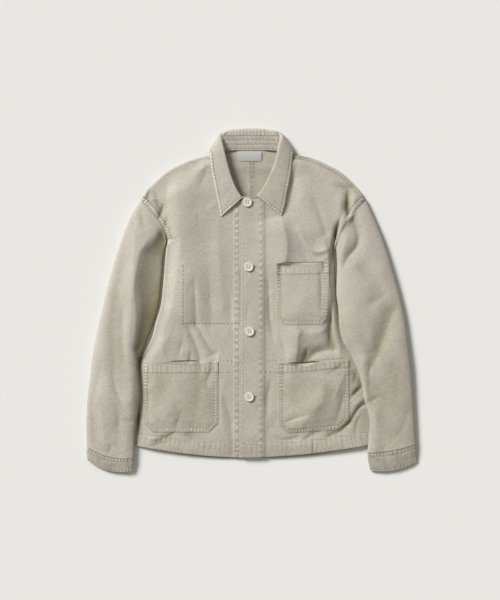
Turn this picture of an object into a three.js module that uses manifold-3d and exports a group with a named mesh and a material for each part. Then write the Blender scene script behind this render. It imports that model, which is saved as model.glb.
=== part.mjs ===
// A cotton twill chore jacket laid flat on its back with the front up.
// Millimetres. +X runs to the wearer's left, +Y from the hem to the collar and +Z up off the surface.
// "left" and "right" in names are the wearer's. The origin is at the middle of the underside.

import * as THREE from "three";
import { mergeVertices } from "three/addons/utils/BufferGeometryUtils.js";
import Module from "manifold-3d";

const wasm = await Module();
wasm.setup();

// Cloth and seams
const CLOTH = 1.5; // one layer of twill with its turned seam allowances
const COLLAR_CLOTH = 2.0; // the leaf is two layers
const CUFF_CLOTH = 2.2;
const PATCH_CLOTH = 1.2; // a patch pocket
const LABEL_CLOTH = 1.0;
const SEAM_GAP = 0.35; // between neighbours at a seam
const PATCH_GAP = 1.2; // under a patch pocket, whose facets are not the panel's

// Front opening: the left front laps over the right front
const LAP_EDGE_X = -22; // edge of the left front, on top
const UNDER_EDGE_X = 14; // edge of the right front, below
const LAP_RISE = 2.6;
const LAP_FADE = 22; // width over which the left front comes down from the lap
const HEM_Y = -346;
const HEM_BOW = 7; // how far the hem bows below the line between its ends

// Armhole and sleeve
const ARMHOLE_HEIGHT = 18;
const ARMHOLE_EDGE = 5; // half the height of the rounded edge where front and back meet
const FULLNESS = 0.75; // below 1 the sleeve's section is fuller than an ellipse

// The upper end of the back lies on the collar leaf, which is turned under it
const LEAF_BED = 2.7;
const LEAF_BED_HALF_WIDTH = 103;
const LEAF_BED_Y = 296;
const LEAF_BED_SLOPE = 24;

// Height of the front's upper face above the surface, from hem to shoulder
const LOFT = [
  { y: -350, z: 9.5 },
  { y: -300, z: 11.5 },
  { y: -150, z: 13.5 },
  { y: 40, z: 16 },
  { y: 200, z: 16 },
  { y: 330, z: 14 },
];

// Outlines. roll is the radius of the rounded edge, rise the distance in which the cloth gains its loft.
const RIGHT_SIDE = [
  { x: -254, y: -320, roll: 3.5, rise: 34 },
  { x: -252, y: -296, roll: 3.5, rise: 34 },
  { x: -251, y: -263, roll: 3, rise: 34 },
  { x: -252, y: -199, roll: 3, rise: 30 },
  { x: -248, y: -165, roll: 3, rise: 30 },
  { x: -240, y: -134, roll: 3.5, rise: 26 },
  { x: -222, y: -87, roll: 4.5, rise: 22 },
  { x: -211, y: -47, roll: 5, rise: 22 },
  { x: -200, y: -10, roll: 5, rise: 22 },
  { x: -195, y: 34, roll: 5, rise: 24 },
  { x: -191, y: 85, roll: 5, rise: 26 },
  { x: -187, y: 131, roll: 5, rise: 30 },
];
const RIGHT_ARMHOLE = [
  { x: -187, y: 131 },
  { x: -192, y: 150 },
  { x: -204, y: 173 },
  { x: -225, y: 200 },
  { x: -245, y: 221 },
];
const RIGHT_SHOULDER = [
  { x: -245, y: 221, roll: 5, rise: 34 },
  { x: -230, y: 243, roll: 5, rise: 34 },
  { x: -210, y: 264, roll: 5, rise: 34 },
  { x: -184, y: 286, roll: 5, rise: 30 },
  { x: -144, y: 306, roll: 4.5, rise: 26 },
  { x: -113, y: 315.5, roll: 4, rise: 22 },
  { x: -86, y: 319, roll: 4, rise: 14 },
];
const RIGHT_NECK = [
  { x: 14, y: 205 },
  { x: -19, y: 215 },
  { x: -45, y: 243 },
  { x: -57, y: 270 },
  { x: -67, y: 296 },
  { x: -74, y: 310 },
];
const LEFT_SIDE = [
  { x: 271, y: -316, roll: 2.5, rise: 40 },
  { x: 270, y: -290, roll: 2.5, rise: 40 },
  { x: 266, y: -240, roll: 2.5, rise: 40 },
  { x: 258, y: -197, roll: 2.5, rise: 40 },
  { x: 247, y: -157, roll: 2.5, rise: 36 },
  { x: 230, y: -122, roll: 2.5, rise: 32 },
  { x: 213, y: -98, roll: 2.5, rise: 26 },
  { x: 197, y: -54, roll: 3, rise: 15 },
  { x: 189, y: -10, roll: 4, rise: 11 },
  { x: 185, y: 34, roll: 5, rise: 10 },
  { x: 184, y: 78, roll: 5, rise: 10 },
  { x: 186, y: 118, roll: 5, rise: 18 },
];
const LEFT_ARMHOLE = [
  { x: 186, y: 118 },
  { x: 192, y: 136 },
  { x: 204, y: 160 },
  { x: 228, y: 196 },
  { x: 252, y: 222 },
];
const LEFT_SHOULDER = [
  { x: 252, y: 222, roll: 5, rise: 34 },
  { x: 237, y: 242, roll: 5, rise: 34 },
  { x: 217, y: 264, roll: 5, rise: 34 },
  { x: 193, y: 285, roll: 5, rise: 30 },
  { x: 155, y: 305, roll: 4.5, rise: 26 },
  { x: 124, y: 316, roll: 4, rise: 22 },
  { x: 88, y: 321, roll: 4, rise: 14 },
];
const LEFT_NECK = [
  { x: -22, y: 229 },
  { x: 12, y: 227 },
  { x: 36, y: 244 },
  { x: 53, y: 270 },
  { x: 65, y: 296 },
  { x: 75, y: 312 },
];

// Largest folds of the fronts and of the sleeves. Each runs between two points; depth below zero is a trough.
const FRONT_FOLDS = [
  { x0: -150, y0: 205, x1: -139, y1: 90, width: 17, depth: -4 },
  { x0: -139, y0: 90, x1: -122, y1: -60, width: 17, depth: -4 },
  { x0: -172, y0: 150, x1: -166, y1: -50, width: 18, depth: 2 },
  { x0: -144, y0: -56, x1: -104, y1: -122, width: 10, depth: -3 },
  { x0: -122, y0: -56, x1: -86, y1: -112, width: 9, depth: -3 },
  { x0: -80, y0: -50, x1: -64, y1: -118, width: 11, depth: -2 },
  { x0: -102, y0: -160, x1: -135, y1: -278, width: 18, depth: -2.6 },
  { x0: -223, y0: -306, x1: -146, y1: -286, width: 9, depth: -2 },
  { x0: 65, y0: 195, x1: 76, y1: 92, width: 14, depth: -4.5 },
  { x0: 116, y0: 256, x1: 146, y1: 160, width: 24, depth: 2.6 },
  { x0: 107, y0: 168, x1: 146, y1: 118, width: 12, depth: -2.6 },
  { x0: 118, y0: 140, x1: 172, y1: 146, width: 11, depth: 2 },
  { x0: 206, y0: 248, x1: 214, y1: 194, width: 11, depth: -3.4 },
  { x0: 204, y0: 184, x1: 184, y1: 128, width: 10, depth: -2.4 },
  { x0: 100, y0: -70, x1: 112, y1: -126, width: 10, depth: -3.6 },
  { x0: 174, y0: -92, x1: 130, y1: -128, width: 10, depth: -3.2 },
  { x0: 133, y0: -66, x1: 155, y1: -106, width: 13, depth: 2.2 },
  { x0: 195, y0: -158, x1: 146, y1: -222, width: 19, depth: -2.6 },
  { x0: 146, y0: -222, x1: 80, y1: -270, width: 19, depth: -2.6 },
  { x0: 133, y0: -292, x1: 133, y1: -332, width: 9, depth: -1.4 },
  { x0: 172, y0: 84, x1: 172, y1: -80, width: 10, depth: 1.8 },
];
const SLEEVE_FOLDS = [
  { x0: -206, y0: 118, x1: -222, y1: 30, width: 17, depth: -9 },
  { x0: -222, y0: 30, x1: -230, y1: -92, width: 17, depth: -13 },
  { x0: -325, y0: -100, x1: -303, y1: -196, width: 19, depth: -3.4 },
  { x0: -305, y0: -218, x1: -325, y1: -294, width: 16, depth: -2.8 },
  { x0: -278, y0: -164, x1: -262, y1: -238, width: 13, depth: 2 },
  { x0: 222, y0: 172, x1: 232, y1: 134, width: 14, depth: -4.5 },
  { x0: 232, y0: 134, x1: 219, y1: 86, width: 13, depth: -4 },
  { x0: 318, y0: -4, x1: 292, y1: -76, width: 14, depth: -4.5 },
  { x0: 292, y0: -76, x1: 258, y1: -152, width: 14, depth: -5 },
  { x0: 258, y0: -152, x1: 262, y1: -214, width: 12, depth: -4 },
  { x0: 286, y0: -204, x1: 262, y1: -224, width: 10, depth: -2.4 },
];

// Sleeve sections from the armhole to the cuff seam. edge is half the height of each rounded edge,
// lift raises the inner edge where it lies over the body, sag bows the section towards the cuff.
const RIGHT_SLEEVE = [
  { outX: -245, outY: 221, inX: -187, inY: 131, height: 18, outEdge: 5, inEdge: 5, lift: 0, sag: 0 },
  { outX: -272, outY: 173, inX: -193.5, inY: 100, height: 21, outEdge: 6, inEdge: 4, lift: 0, sag: 1 },
  { outX: -294, outY: 111, inX: -198, inY: 46, height: 23, outEdge: 6, inEdge: 3, lift: 0, sag: 2 },
  { outX: -314, outY: 45, inX: -203, inY: -3, height: 24, outEdge: 6, inEdge: 2.6, lift: 0, sag: 2 },
  { outX: -330, outY: -25, inX: -215, inY: -48, height: 24, outEdge: 6, inEdge: 2.6, lift: 0, sag: 1 },
  { outX: -343, outY: -82, inX: -231, inY: -92, height: 24, outEdge: 6, inEdge: 2.6, lift: 0, sag: 0 },
  { outX: -351, outY: -127, inX: -247.5, inY: -131, height: 24, outEdge: 6, inEdge: 3.5, lift: 3.5, sag: 0 },
  { outX: -356, outY: -166, inX: -247, inY: -171, height: 23, outEdge: 6, inEdge: 4, lift: 7.6, sag: 0 },
  { outX: -360, outY: -203, inX: -245, inY: -205, height: 22, outEdge: 6, inEdge: 4, lift: 7.6, sag: 0 },
  { outX: -363, outY: -241, inX: -249, inY: -243, height: 20, outEdge: 5.5, inEdge: 4, lift: 7.2, sag: 2 },
  { outX: -364, outY: -282, inX: -256, inY: -287, height: 18, outEdge: 5, inEdge: 4, lift: 2, sag: 6 },
  { outX: -363, outY: -321.5, inX: -260, inY: -336.5, height: 15, outEdge: 5, inEdge: 5, lift: 0, sag: 10.5 },
];
const LEFT_SLEEVE = [
  { outX: 252, outY: 222, inX: 186, inY: 118, height: 18, outEdge: 5, inEdge: 5, lift: 0, sag: 0 },
  { outX: 272, outY: 177, inX: 188.5, inY: 86, height: 21, outEdge: 6, inEdge: 5, lift: 0, sag: 1 },
  { outX: 292, outY: 127, inX: 187.5, inY: 50, height: 22, outEdge: 6, inEdge: 5, lift: 0, sag: 2 },
  { outX: 309, outY: 72, inX: 187, inY: 14, height: 23, outEdge: 6, inEdge: 5, lift: 0, sag: 2 },
  { outX: 324, outY: 19, inX: 191, inY: -22, height: 23, outEdge: 6, inEdge: 5, lift: 1.5, sag: 1 },
  { outX: 336, outY: -32, inX: 193, inY: -56, height: 23, outEdge: 6, inEdge: 5, lift: 6.6, sag: 0 },
  { outX: 343, outY: -80, inX: 201, inY: -90, height: 23, outEdge: 6, inEdge: 5, lift: 7.4, sag: 0 },
  { outX: 349, outY: -125, inX: 222, inY: -127, height: 23, outEdge: 6, inEdge: 5, lift: 7.4, sag: 0 },
  { outX: 353, outY: -168, inX: 239, inY: -169, height: 22, outEdge: 6, inEdge: 4.5, lift: 7.4, sag: 0 },
  { outX: 356, outY: -216, inX: 248, inY: -217, height: 20, outEdge: 5.5, inEdge: 4.5, lift: 7.4, sag: 0 },
  { outX: 359, outY: -264, inX: 260, inY: -266, height: 19, outEdge: 5, inEdge: 4.5, lift: 7.4, sag: 2 },
  { outX: 362, outY: -316, inX: 255, inY: -335.5, height: 18, outEdge: 5, inEdge: 5, lift: 6.6, sag: 8 },
];
const RIGHT_CUFF = [
  { outX: -363, outY: -321.9, inX: -260, inY: -336.9, height: 15.5, outEdge: 5.5, inEdge: 5.5, lift: 0, sag: 10.5 },
  { outX: -363.5, outY: -337, inX: -261, inY: -356, height: 15, outEdge: 5.5, inEdge: 5.5, lift: 0, sag: 11 },
  { outX: -362, outY: -351, inX: -263, inY: -373, height: 13.5, outEdge: 5, inEdge: 5, lift: 0, sag: 13.5 },
];
const LEFT_CUFF = [
  { outX: 362, outY: -316.4, inX: 255, inY: -335.9, height: 18, outEdge: 5.5, inEdge: 5.5, lift: 6.6, sag: 8 },
  { outX: 363.5, outY: -334, inX: 257, inY: -353, height: 16, outEdge: 5.5, inEdge: 5.5, lift: 3, sag: 12 },
  { outX: 364, outY: -353, inX: 260.5, inY: -370, height: 13.5, outEdge: 5, inEdge: 5, lift: 0, sag: 16.5 },
];

// Collar leaf from the right front point round the back to the left front point. tip is the roll line,
// edge the free edge, turn the way the inner layer lies from the outer (0 below, 90 inwards, 180 above),
// fold the distance between the two layers' outer faces, reach the length of the inner layer.
const COLLAR = [
  { tipX: -20, tipY: 227, tipZ: 21.5, edgeX: -67, edgeY: 185, edgeZ: 19.2, turn: 0, fold: 5, reach: 7 },
  { tipX: -28, tipY: 238, tipZ: 21.5, edgeX: -72, edgeY: 208, edgeZ: 19.2, turn: 0, fold: 5, reach: 9 },
  { tipX: -37, tipY: 255, tipZ: 21.8, edgeX: -77, edgeY: 234, edgeZ: 19.2, turn: 0, fold: 5, reach: 11 },
  { tipX: -46, tipY: 280, tipZ: 22, edgeX: -84, edgeY: 265, edgeZ: 19, turn: 0, fold: 5, reach: 12 },
  { tipX: -54, tipY: 309, tipZ: 22, edgeX: -89, edgeY: 293, edgeZ: 18.6, turn: 0, fold: 6, reach: 13 },
  { tipX: -60, tipY: 335, tipZ: 21, edgeX: -91, edgeY: 315, edgeZ: 17.6, turn: 15, fold: 7, reach: 13 },
  { tipX: -64, tipY: 353, tipZ: 18, edgeX: -94, edgeY: 325.5, edgeZ: 13, turn: 50, fold: 9, reach: 13 },
  { tipX: -66, tipY: 364, tipZ: 13, edgeX: -94.5, edgeY: 329, edgeZ: 7.5, turn: 90, fold: 9, reach: 13 },
  { tipX: -61, tipY: 371, tipZ: 8.5, edgeX: -91, edgeY: 328, edgeZ: 2, turn: 140, fold: 12, reach: 14 },
  { tipX: -52, tipY: 375, tipZ: 7, edgeX: -80, edgeY: 318, edgeZ: 0, turn: 180, fold: 14, reach: 14 },
  { tipX: -30, tipY: 378, tipZ: 7, edgeX: -42, edgeY: 310, edgeZ: 0, turn: 180, fold: 13.4, reach: 15 },
  { tipX: -3, tipY: 379, tipZ: 7, edgeX: -3, edgeY: 308, edgeZ: 0, turn: 180, fold: 12.8, reach: 15 },
  { tipX: 26, tipY: 378, tipZ: 7, edgeX: 37, edgeY: 310, edgeZ: 0, turn: 180, fold: 13.2, reach: 15 },
  { tipX: 48, tipY: 375, tipZ: 7, edgeX: 76, edgeY: 320, edgeZ: 0, turn: 180, fold: 13.8, reach: 14 },
  { tipX: 58, tipY: 371, tipZ: 8.5, edgeX: 88, edgeY: 331, edgeZ: 2, turn: 140, fold: 12, reach: 14 },
  { tipX: 63, tipY: 364, tipZ: 13, edgeX: 92, edgeY: 333, edgeZ: 7.5, turn: 90, fold: 9, reach: 13 },
  { tipX: 62, tipY: 354, tipZ: 18, edgeX: 92, edgeY: 329, edgeZ: 13, turn: 50, fold: 9, reach: 13 },
  { tipX: 58, tipY: 337, tipZ: 21, edgeX: 90, edgeY: 317, edgeZ: 17.6, turn: 15, fold: 7, reach: 13 },
  { tipX: 52, tipY: 309, tipZ: 22, edgeX: 88, edgeY: 294, edgeZ: 18.6, turn: 0, fold: 6, reach: 13 },
  { tipX: 42, tipY: 282, tipZ: 22, edgeX: 83, edgeY: 265, edgeZ: 19.6, turn: 0, fold: 5, reach: 12 },
  { tipX: 31, tipY: 258, tipZ: 22.4, edgeX: 77, edgeY: 234, edgeZ: 19.6, turn: 0, fold: 5, reach: 11 },
  { tipX: 21, tipY: 242, tipZ: 22.8, edgeX: 72, edgeY: 208, edgeZ: 19.4, turn: 0, fold: 5, reach: 9 },
  { tipX: 12, tipY: 232, tipZ: 22.8, edgeX: 66, edgeY: 186, edgeZ: 19.4, turn: 0, fold: 5, reach: 7 },
];

// Patch pockets, by their four upper and lower limits and the cut of the bottom corners
const CHEST_POCKET = { x0: 55, x1: 170, top: 82, bottom: -53, slant: 0, corner: 15, columns: 9, rows: 9 };
const LOWER_RIGHT_POCKET = { x0: -238, x1: -74, top: -134, bottom: -290, slant: 0, corner: 20, columns: 12, rows: 10 };
const LOWER_LEFT_POCKET = { x0: 59, x1: 215, top: -136, bottom: -293, slant: 10, corner: 20, columns: 12, rows: 10 };

// Buttons
const BUTTON_RADIUS = 10.3;
const BUTTON_HEIGHT = 3.2;
const BUTTON_HOLE = { radius: 0.9, spread: 1.9, sides: 6 };
const BUTTONS = [
  { x: -9, y: 216 },
  { x: -6, y: 74 },
  { x: -4, y: -68 },
  { x: -5, y: -212 },
];

const LABEL = { x0: -32, x1: 22, y0: 307, y1: 329 };

const CLOTH_COLOUR = 0xbab39f;

const smooth = (value) => {
  const k = Math.min(1, Math.max(0, value));
  return k * k * (3 - 2 * k);
};
const mix = (a, b, k) => a + (b - a) * k;

/** Value of a named column of a table at a place between its first row (0) and its last (1), on a smooth curve. */
function columnAt(table, column, place) {
  const along = place * (table.length - 1);
  const i = Math.min(table.length - 2, Math.floor(along));
  const value = (n) => table[Math.min(table.length - 1, Math.max(0, n))][column];
  const k = along - i;
  const [a, b, c, d] = [value(i - 1), value(i), value(i + 1), value(i + 2)];
  return 0.5 * (2 * b + (c - a) * k + (2 * a - 5 * b + 4 * c - d) * k * k + (3 * b - a - 3 * c + d) * k ** 3);
}

/** Sum of the folds' heights at a point in plan. Each fades at its ends. */
function foldHeight(folds, x, y) {
  let total = 0;
  for (const f of folds) {
    const length = Math.hypot(f.x1 - f.x0, f.y1 - f.y0);
    const ux = (f.x1 - f.x0) / length;
    const uy = (f.y1 - f.y0) / length;
    const along = (x - f.x0) * ux + (y - f.y0) * uy;
    const across = (x - f.x0) * uy - (y - f.y0) * ux;
    const past = Math.max(0, -along, along - length);
    total += f.depth * Math.exp(-((across / f.width) ** 2) - (past / f.width) ** 2);
  }
  return total;
}

/** Height of the bed that the turned-under leaf makes for the upper end of the back. */
function bedHeight(x, y) {
  const across = smooth((LEAF_BED_HALF_WIDTH - Math.abs(x)) / LEAF_BED_SLOPE + 1);
  return LEAF_BED * across * smooth((y - LEAF_BED_Y) / LEAF_BED_SLOPE + 1);
}

function loft(y) {
  let i = 0;
  while (i < LOFT.length - 2 && y > LOFT[i + 1].y) i++;
  const [a, b] = [LOFT[i], LOFT[i + 1]];
  return mix(a.z, b.z, smooth((y - a.y) / (b.y - a.y)));
}

/** Upper edge of the armhole above the surface, from the shoulder point (0) to the underarm (1). */
function armholeTop(place) {
  const sine = 2 * Math.sqrt(Math.max(0, place * (1 - place)));
  return ARMHOLE_EDGE + (ARMHOLE_HEIGHT - ARMHOLE_EDGE) * sine ** FULLNESS;
}

/** Rows of a front's outline, from the hem up the side, round the armhole and along the shoulder. */
function outlineRows(panel) {
  const rows = [];
  const add = (table, count, kind, last) => {
    for (let j = 0; j < count + last; j++) {
      const place = j / count;
      const step = 1e-3;
      const ahead = Math.min(1, place + step);
      const behind = Math.max(0, place - step);
      const tangent = new THREE.Vector2(
        columnAt(table, "x", ahead) - columnAt(table, "x", behind),
        columnAt(table, "y", ahead) - columnAt(table, "y", behind),
      ).normalize();
      rows.push({
        kind,
        place,
        at: new THREE.Vector2(columnAt(table, "x", place), columnAt(table, "y", place)),
        outward: new THREE.Vector2(-tangent.y, tangent.x).multiplyScalar(panel.turn),
      });
    }
  };
  add(panel.side, panel.sideRows, "side", 1);
  add(panel.armhole, panel.armholeRows, "armhole", 0);
  rows.splice(panel.sideRows + 1, 1); // the underarm is already the side's last row
  add(panel.shoulder, panel.shoulderRows, "shoulder", 1);
  for (const row of rows) {
    if (row.kind === "armhole") {
      row.roll = 0;
      row.rise = 30;
      row.edgeZ = armholeTop(1 - row.place);
      continue;
    }
    const table = row.kind === "side" ? panel.side : panel.shoulder;
    row.roll = columnAt(table, "roll", row.place);
    row.rise = columnAt(table, "rise", row.place);
    row.edgeZ = bedHeight(row.at.x, row.at.y) + 2 * row.roll;
  }
  return rows;
}

/** Upper face of a front at a point in plan: its loft and folds, brought down to the outline's edge. */
function frontTop(panel, x, y) {
  let nearest = Infinity;
  let edge;
  for (let i = 0; i < panel.rows.length - 1; i++) {
    const [a, b] = [panel.rows[i], panel.rows[i + 1]];
    const run = b.at.clone().sub(a.at);
    const k = Math.min(1, Math.max(0, ((x - a.at.x) * run.x + (y - a.at.y) * run.y) / run.lengthSq()));
    const distance = Math.hypot(x - mix(a.at.x, b.at.x, k), y - mix(a.at.y, b.at.y, k));
    if (distance < nearest) {
      nearest = distance;
      edge = { z: mix(a.edgeZ, b.edgeZ, k), roll: mix(a.roll, b.roll, k), rise: mix(a.rise, b.rise, k) };
    }
  }
  const full = loft(y) + foldHeight(FRONT_FOLDS, x, y) + 0.6 * bedHeight(x, y);
  const lapped = panel.laps ? LAP_RISE * smooth((UNDER_EDGE_X + LAP_FADE + 2 - x) / LAP_FADE) : 0;
  return mix(edge.z, full, smooth((nearest - edge.roll) / edge.rise)) + lapped;
}

/** A closed wall between two grids of points with the same rows and columns. In a ring the last column meets the first. */
function wallBetween(outer, inner, ring = false) {
  const rows = outer.length;
  const columns = outer[0].length;
  const positions = [...outer.flat(), ...inner.flat()].flatMap((p) => [p.x, p.y, p.z]);
  const inside = rows * columns;
  const indices = [];
  const quad = (a, b, c, d) => indices.push(a, b, c, a, c, d);
  const spans = ring ? columns : columns - 1;
  const at = (j, i) => j * columns + (i % columns);
  for (let j = 0; j < rows - 1; j++) {
    for (let i = 0; i < spans; i++) {
      quad(at(j, i), at(j, i + 1), at(j + 1, i + 1), at(j + 1, i));
      quad(inside + at(j, i), inside + at(j + 1, i), inside + at(j + 1, i + 1), inside + at(j, i + 1));
    }
  }
  for (let i = 0; i < spans; i++) {
    quad(at(0, i + 1), at(0, i), inside + at(0, i), inside + at(0, i + 1));
    quad(at(rows - 1, i), at(rows - 1, i + 1), inside + at(rows - 1, i + 1), inside + at(rows - 1, i));
  }
  if (!ring) {
    const end = columns - 1;
    for (let j = 0; j < rows - 1; j++) {
      quad(at(j, 0), at(j + 1, 0), inside + at(j + 1, 0), inside + at(j, 0));
      quad(at(j + 1, end), at(j, end), inside + at(j, end), inside + at(j + 1, end));
    }
  }
  const geometry = new THREE.BufferGeometry();
  geometry.setAttribute("position", new THREE.Float32BufferAttribute(positions, 3));
  geometry.setIndex(volumeOf(positions, indices) < 0 ? indices.reverse() : indices);
  return geometry;
}

/** Signed volume inside a triangle mesh, below zero where its faces point in. */
function volumeOf(positions, indices) {
  const corner = (n) => new THREE.Vector3().fromArray(positions, 3 * indices[n]);
  let volume = 0;
  for (let n = 0; n < indices.length; n += 3) {
    volume += corner(n).dot(corner(n + 1).cross(corner(n + 2))) / 6;
  }
  return volume;
}

/** The grid moved along its own normals. side is 1 or -1, the way that counts as inwards. */
function movedInwards(grid, thickness, side) {
  const rows = grid.length;
  const columns = grid[0].length;
  return grid.map((row, j) =>
    row.map((point, i) => {
      const across = row[Math.min(columns - 1, i + 1)].clone().sub(row[Math.max(0, i - 1)]);
      const along = grid[Math.min(rows - 1, j + 1)][i].clone().sub(grid[Math.max(0, j - 1)][i]);
      const normal = across.cross(along).normalize();
      return point.clone().addScaledVector(normal, side * thickness);
    }),
  );
}

const ROLL_STEPS = 5;
const ARMHOLE_MARGIN = 7; // width of the strip along the armhole that carries the edge's extra columns

/** Outer face of a front: columns from the opening to the side, then round the edge to the surface below. */
function frontGrid(panel) {
  return panel.rows.map((row, j) => {
    const { at, outward, roll } = row;
    const shoulderStart = panel.sideRows + panel.armholeRows;
    const below = Math.min(1, j / shoulderStart);
    const inner =
      j <= shoulderStart
        ? { x: panel.edgeX, y: mix(HEM_Y, panel.neck[0].y, below) }
        : neckPoint(panel, (j - shoulderStart) / panel.shoulderRows);
    const margin = row.kind === "armhole" ? ARMHOLE_MARGIN : roll;
    const last = at.clone().addScaledVector(outward, -margin);
    const points = [];
    for (let i = 0; i <= panel.columns; i++) {
      const k = i / panel.columns;
      const x = mix(inner.x, last.x, k);
      const y = mix(inner.y, last.y, k) - HEM_BOW * 4 * k * (1 - k) * (1 - below) ** 4;
      points.push(new THREE.Vector3(x, y, frontTop(panel, x, y)));
    }
    for (let step = 1; step <= ROLL_STEPS; step++) {
      const k = step / ROLL_STEPS;
      if (row.kind === "armhole") {
        const place = at.clone().addScaledVector(outward, -margin * (1 - k) - SEAM_GAP / 2);
        points.push(new THREE.Vector3(place.x, place.y, mix(points[panel.columns].z, row.edgeZ, k)));
      } else {
        const place = last.clone().addScaledVector(outward, roll * Math.sin(k * Math.PI));
        const z = bedHeight(at.x, at.y) + roll * (1 + Math.cos(k * Math.PI));
        points.push(new THREE.Vector3(place.x, place.y, z));
      }
    }
    return points;
  });
}

function neckPoint(panel, place) {
  return { x: columnAt(panel.neck, "x", place), y: columnAt(panel.neck, "y", place) };
}

function frontGeometry(panel) {
  const outer = frontGrid(panel);
  const inner = movedInwards(outer, CLOTH, panel.turn);
  panel.rows.forEach((row, j) => {
    if (row.kind === "armhole") return;
    const end = outer[j].at(-1);
    inner[j][inner[j].length - 1].set(end.x, end.y, end.z + CLOTH);
  });
  return wallBetween(outer, inner);
}

/** Half of the back: a flat wall from the centre seam to the fronts' turned edges. */
function backGeometry(panel, columns) {
  const outer = panel.rows.map((row, j) => {
    const inset = row.kind === "armhole" ? SEAM_GAP : row.roll + SEAM_GAP;
    const edge = row.at.clone().addScaledVector(row.outward, -inset);
    const top = panel.rows.length - 1;
    const centreY = mix(HEM_Y - 1, BACK_NECK_Y, j / top);
    const y1 = j === top ? edge.y : Math.min(edge.y, BACK_NECK_CORNER_Y);
    const points = [];
    for (let i = 0; i <= columns; i++) {
      const k = i / columns;
      const x = mix(-panel.turn * (BACK_SEAM_X + SEAM_GAP / 2), edge.x, k);
      const bow = (HEM_BOW + 2) * 4 * k * (1 - k) * (1 - j / top) ** 4;
      const y = mix(centreY, y1, k) - bow;
      points.push(new THREE.Vector3(x, y, bedHeight(x, y) + CLOTH));
    }
    return points;
  });
  const inner = outer.map((row) => row.map((p) => new THREE.Vector3(p.x, p.y, p.z - CLOTH)));
  return wallBetween(outer, inner);
}

const BACK_SEAM_X = 0;
const BACK_NECK_Y = 335;
const BACK_NECK_CORNER_Y = 330;

/** How far the armhole's curve lies from the line between its ends, from the shoulder point (0) to the underarm (1). */
function armholeBow(armhole, s) {
  const curve = (place) => new THREE.Vector2(columnAt(armhole, "x", place), columnAt(armhole, "y", place));
  return curve(1 - s).sub(curve(1).lerp(curve(0), s));
}

/** Two rings of points round a sleeve section: the outer face, and the inner face a wall's thickness inside it. */
function sleeveSection({ table, armhole, thickness, points }, place) {
  const at = (name) => columnAt(table, name, place);
  const out = new THREE.Vector2(at("outX"), at("outY"));
  const across = new THREE.Vector2(at("inX"), at("inY")).sub(out);
  const width = across.length();
  const down = new THREE.Vector2(across.y, -across.x).normalize();
  if (down.y > 0) down.negate();
  if (armhole && place === 0) out.addScaledVector(down, SEAM_GAP);
  const foldShare = armhole ? smooth(place / 0.09) * smooth((1 - place) / 0.05) : 0;
  const ring = (wall) => {
    const result = [];
    for (let i = 0; i < points; i++) {
      const angle = (2 * Math.PI * i) / points;
      const half = (1 - Math.cos(angle)) / 2;
      const sine = Math.abs(Math.sin(angle));
      const s = (wall + (width - 2 * wall) * half) / width;
      const plan = out.clone().addScaledVector(across, s).addScaledVector(down, at("sag") * 4 * s * (1 - s));
      if (armhole) plan.addScaledVector(armholeBow(armhole, s), 1 - smooth(place / 0.12));
      const { x, y } = plan;
      const edge = mix(at("outEdge"), at("inEdge"), smooth(s));
      const lift = Math.max(0, at("lift")) * smooth((s - 0.62) / 0.26);
      const below = wall + (edge - wall) * (1 - Math.min(1, 2.4 * sine));
      const fold = foldShare * sine * foldHeight(SLEEVE_FOLDS, x, y);
      const least = edge * 1.7 - wall;
      const full = Math.max(least, at("height") + fold - wall - 0.55 * lift);
      const above = edge + (full - edge) * sine ** FULLNESS;
      result.push(new THREE.Vector3(x, y, lift + (angle > Math.PI + 1e-9 ? below : above)));
    }
    return result;
  };
  return { outer: ring(0), inner: ring(thickness) };
}

function sleeveGeometry(tube) {
  const sections = [];
  for (let j = 0; j <= tube.sections; j++) sections.push(sleeveSection(tube, j / tube.sections));
  return wallBetween(
    sections.map((section) => section.outer),
    sections.map((section) => section.inner),
    true,
  );
}

/** Outer and inner points of the leaf's section at a row of the collar table, from its free edge to its root. */
function leafSection(row) {
  const tip = new THREE.Vector3(row.tipX, row.tipY, row.tipZ);
  const edge = new THREE.Vector3(row.edgeX, row.edgeY, row.edgeZ);
  const out = edge.clone().sub(tip).setZ(0).normalize();
  const inwards = new THREE.Vector3(-out.y, out.x, 0);
  if (inwards.x * row.tipX > 0) inwards.negate();
  const angle = THREE.MathUtils.degToRad(row.turn);
  const across = inwards.multiplyScalar(Math.sin(angle)).add(new THREE.Vector3(0, 0, -Math.cos(angle)));
  const half = row.fold / 2;
  const nearTip = tip.clone().addScaledVector(out, 3).addScaledVector(across, -half);
  const root = tip.clone().addScaledVector(out, row.reach).addScaledVector(across, half);
  const underTip = tip.clone().addScaledVector(out, 3).addScaledVector(across, half);
  const thick = (p, sign) => p.clone().addScaledVector(across, sign * COLLAR_CLOTH);
  const outer = [edge, edge.clone().lerp(nearTip, 0.33), edge.clone().lerp(nearTip, 0.67), nearTip, tip, underTip, root];
  const inner = [
    ...outer.slice(0, 4).map((p) => thick(p, 1)),
    tip.clone().addScaledVector(out, COLLAR_CLOTH),
    thick(underTip, -1),
    thick(root, -1),
  ];
  return { outer, inner, across, out, root };
}

function leafGeometry() {
  const sections = COLLAR.map(leafSection);
  return wallBetween(
    sections.map((s) => s.outer),
    sections.map((s) => s.inner),
  );
}

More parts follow.
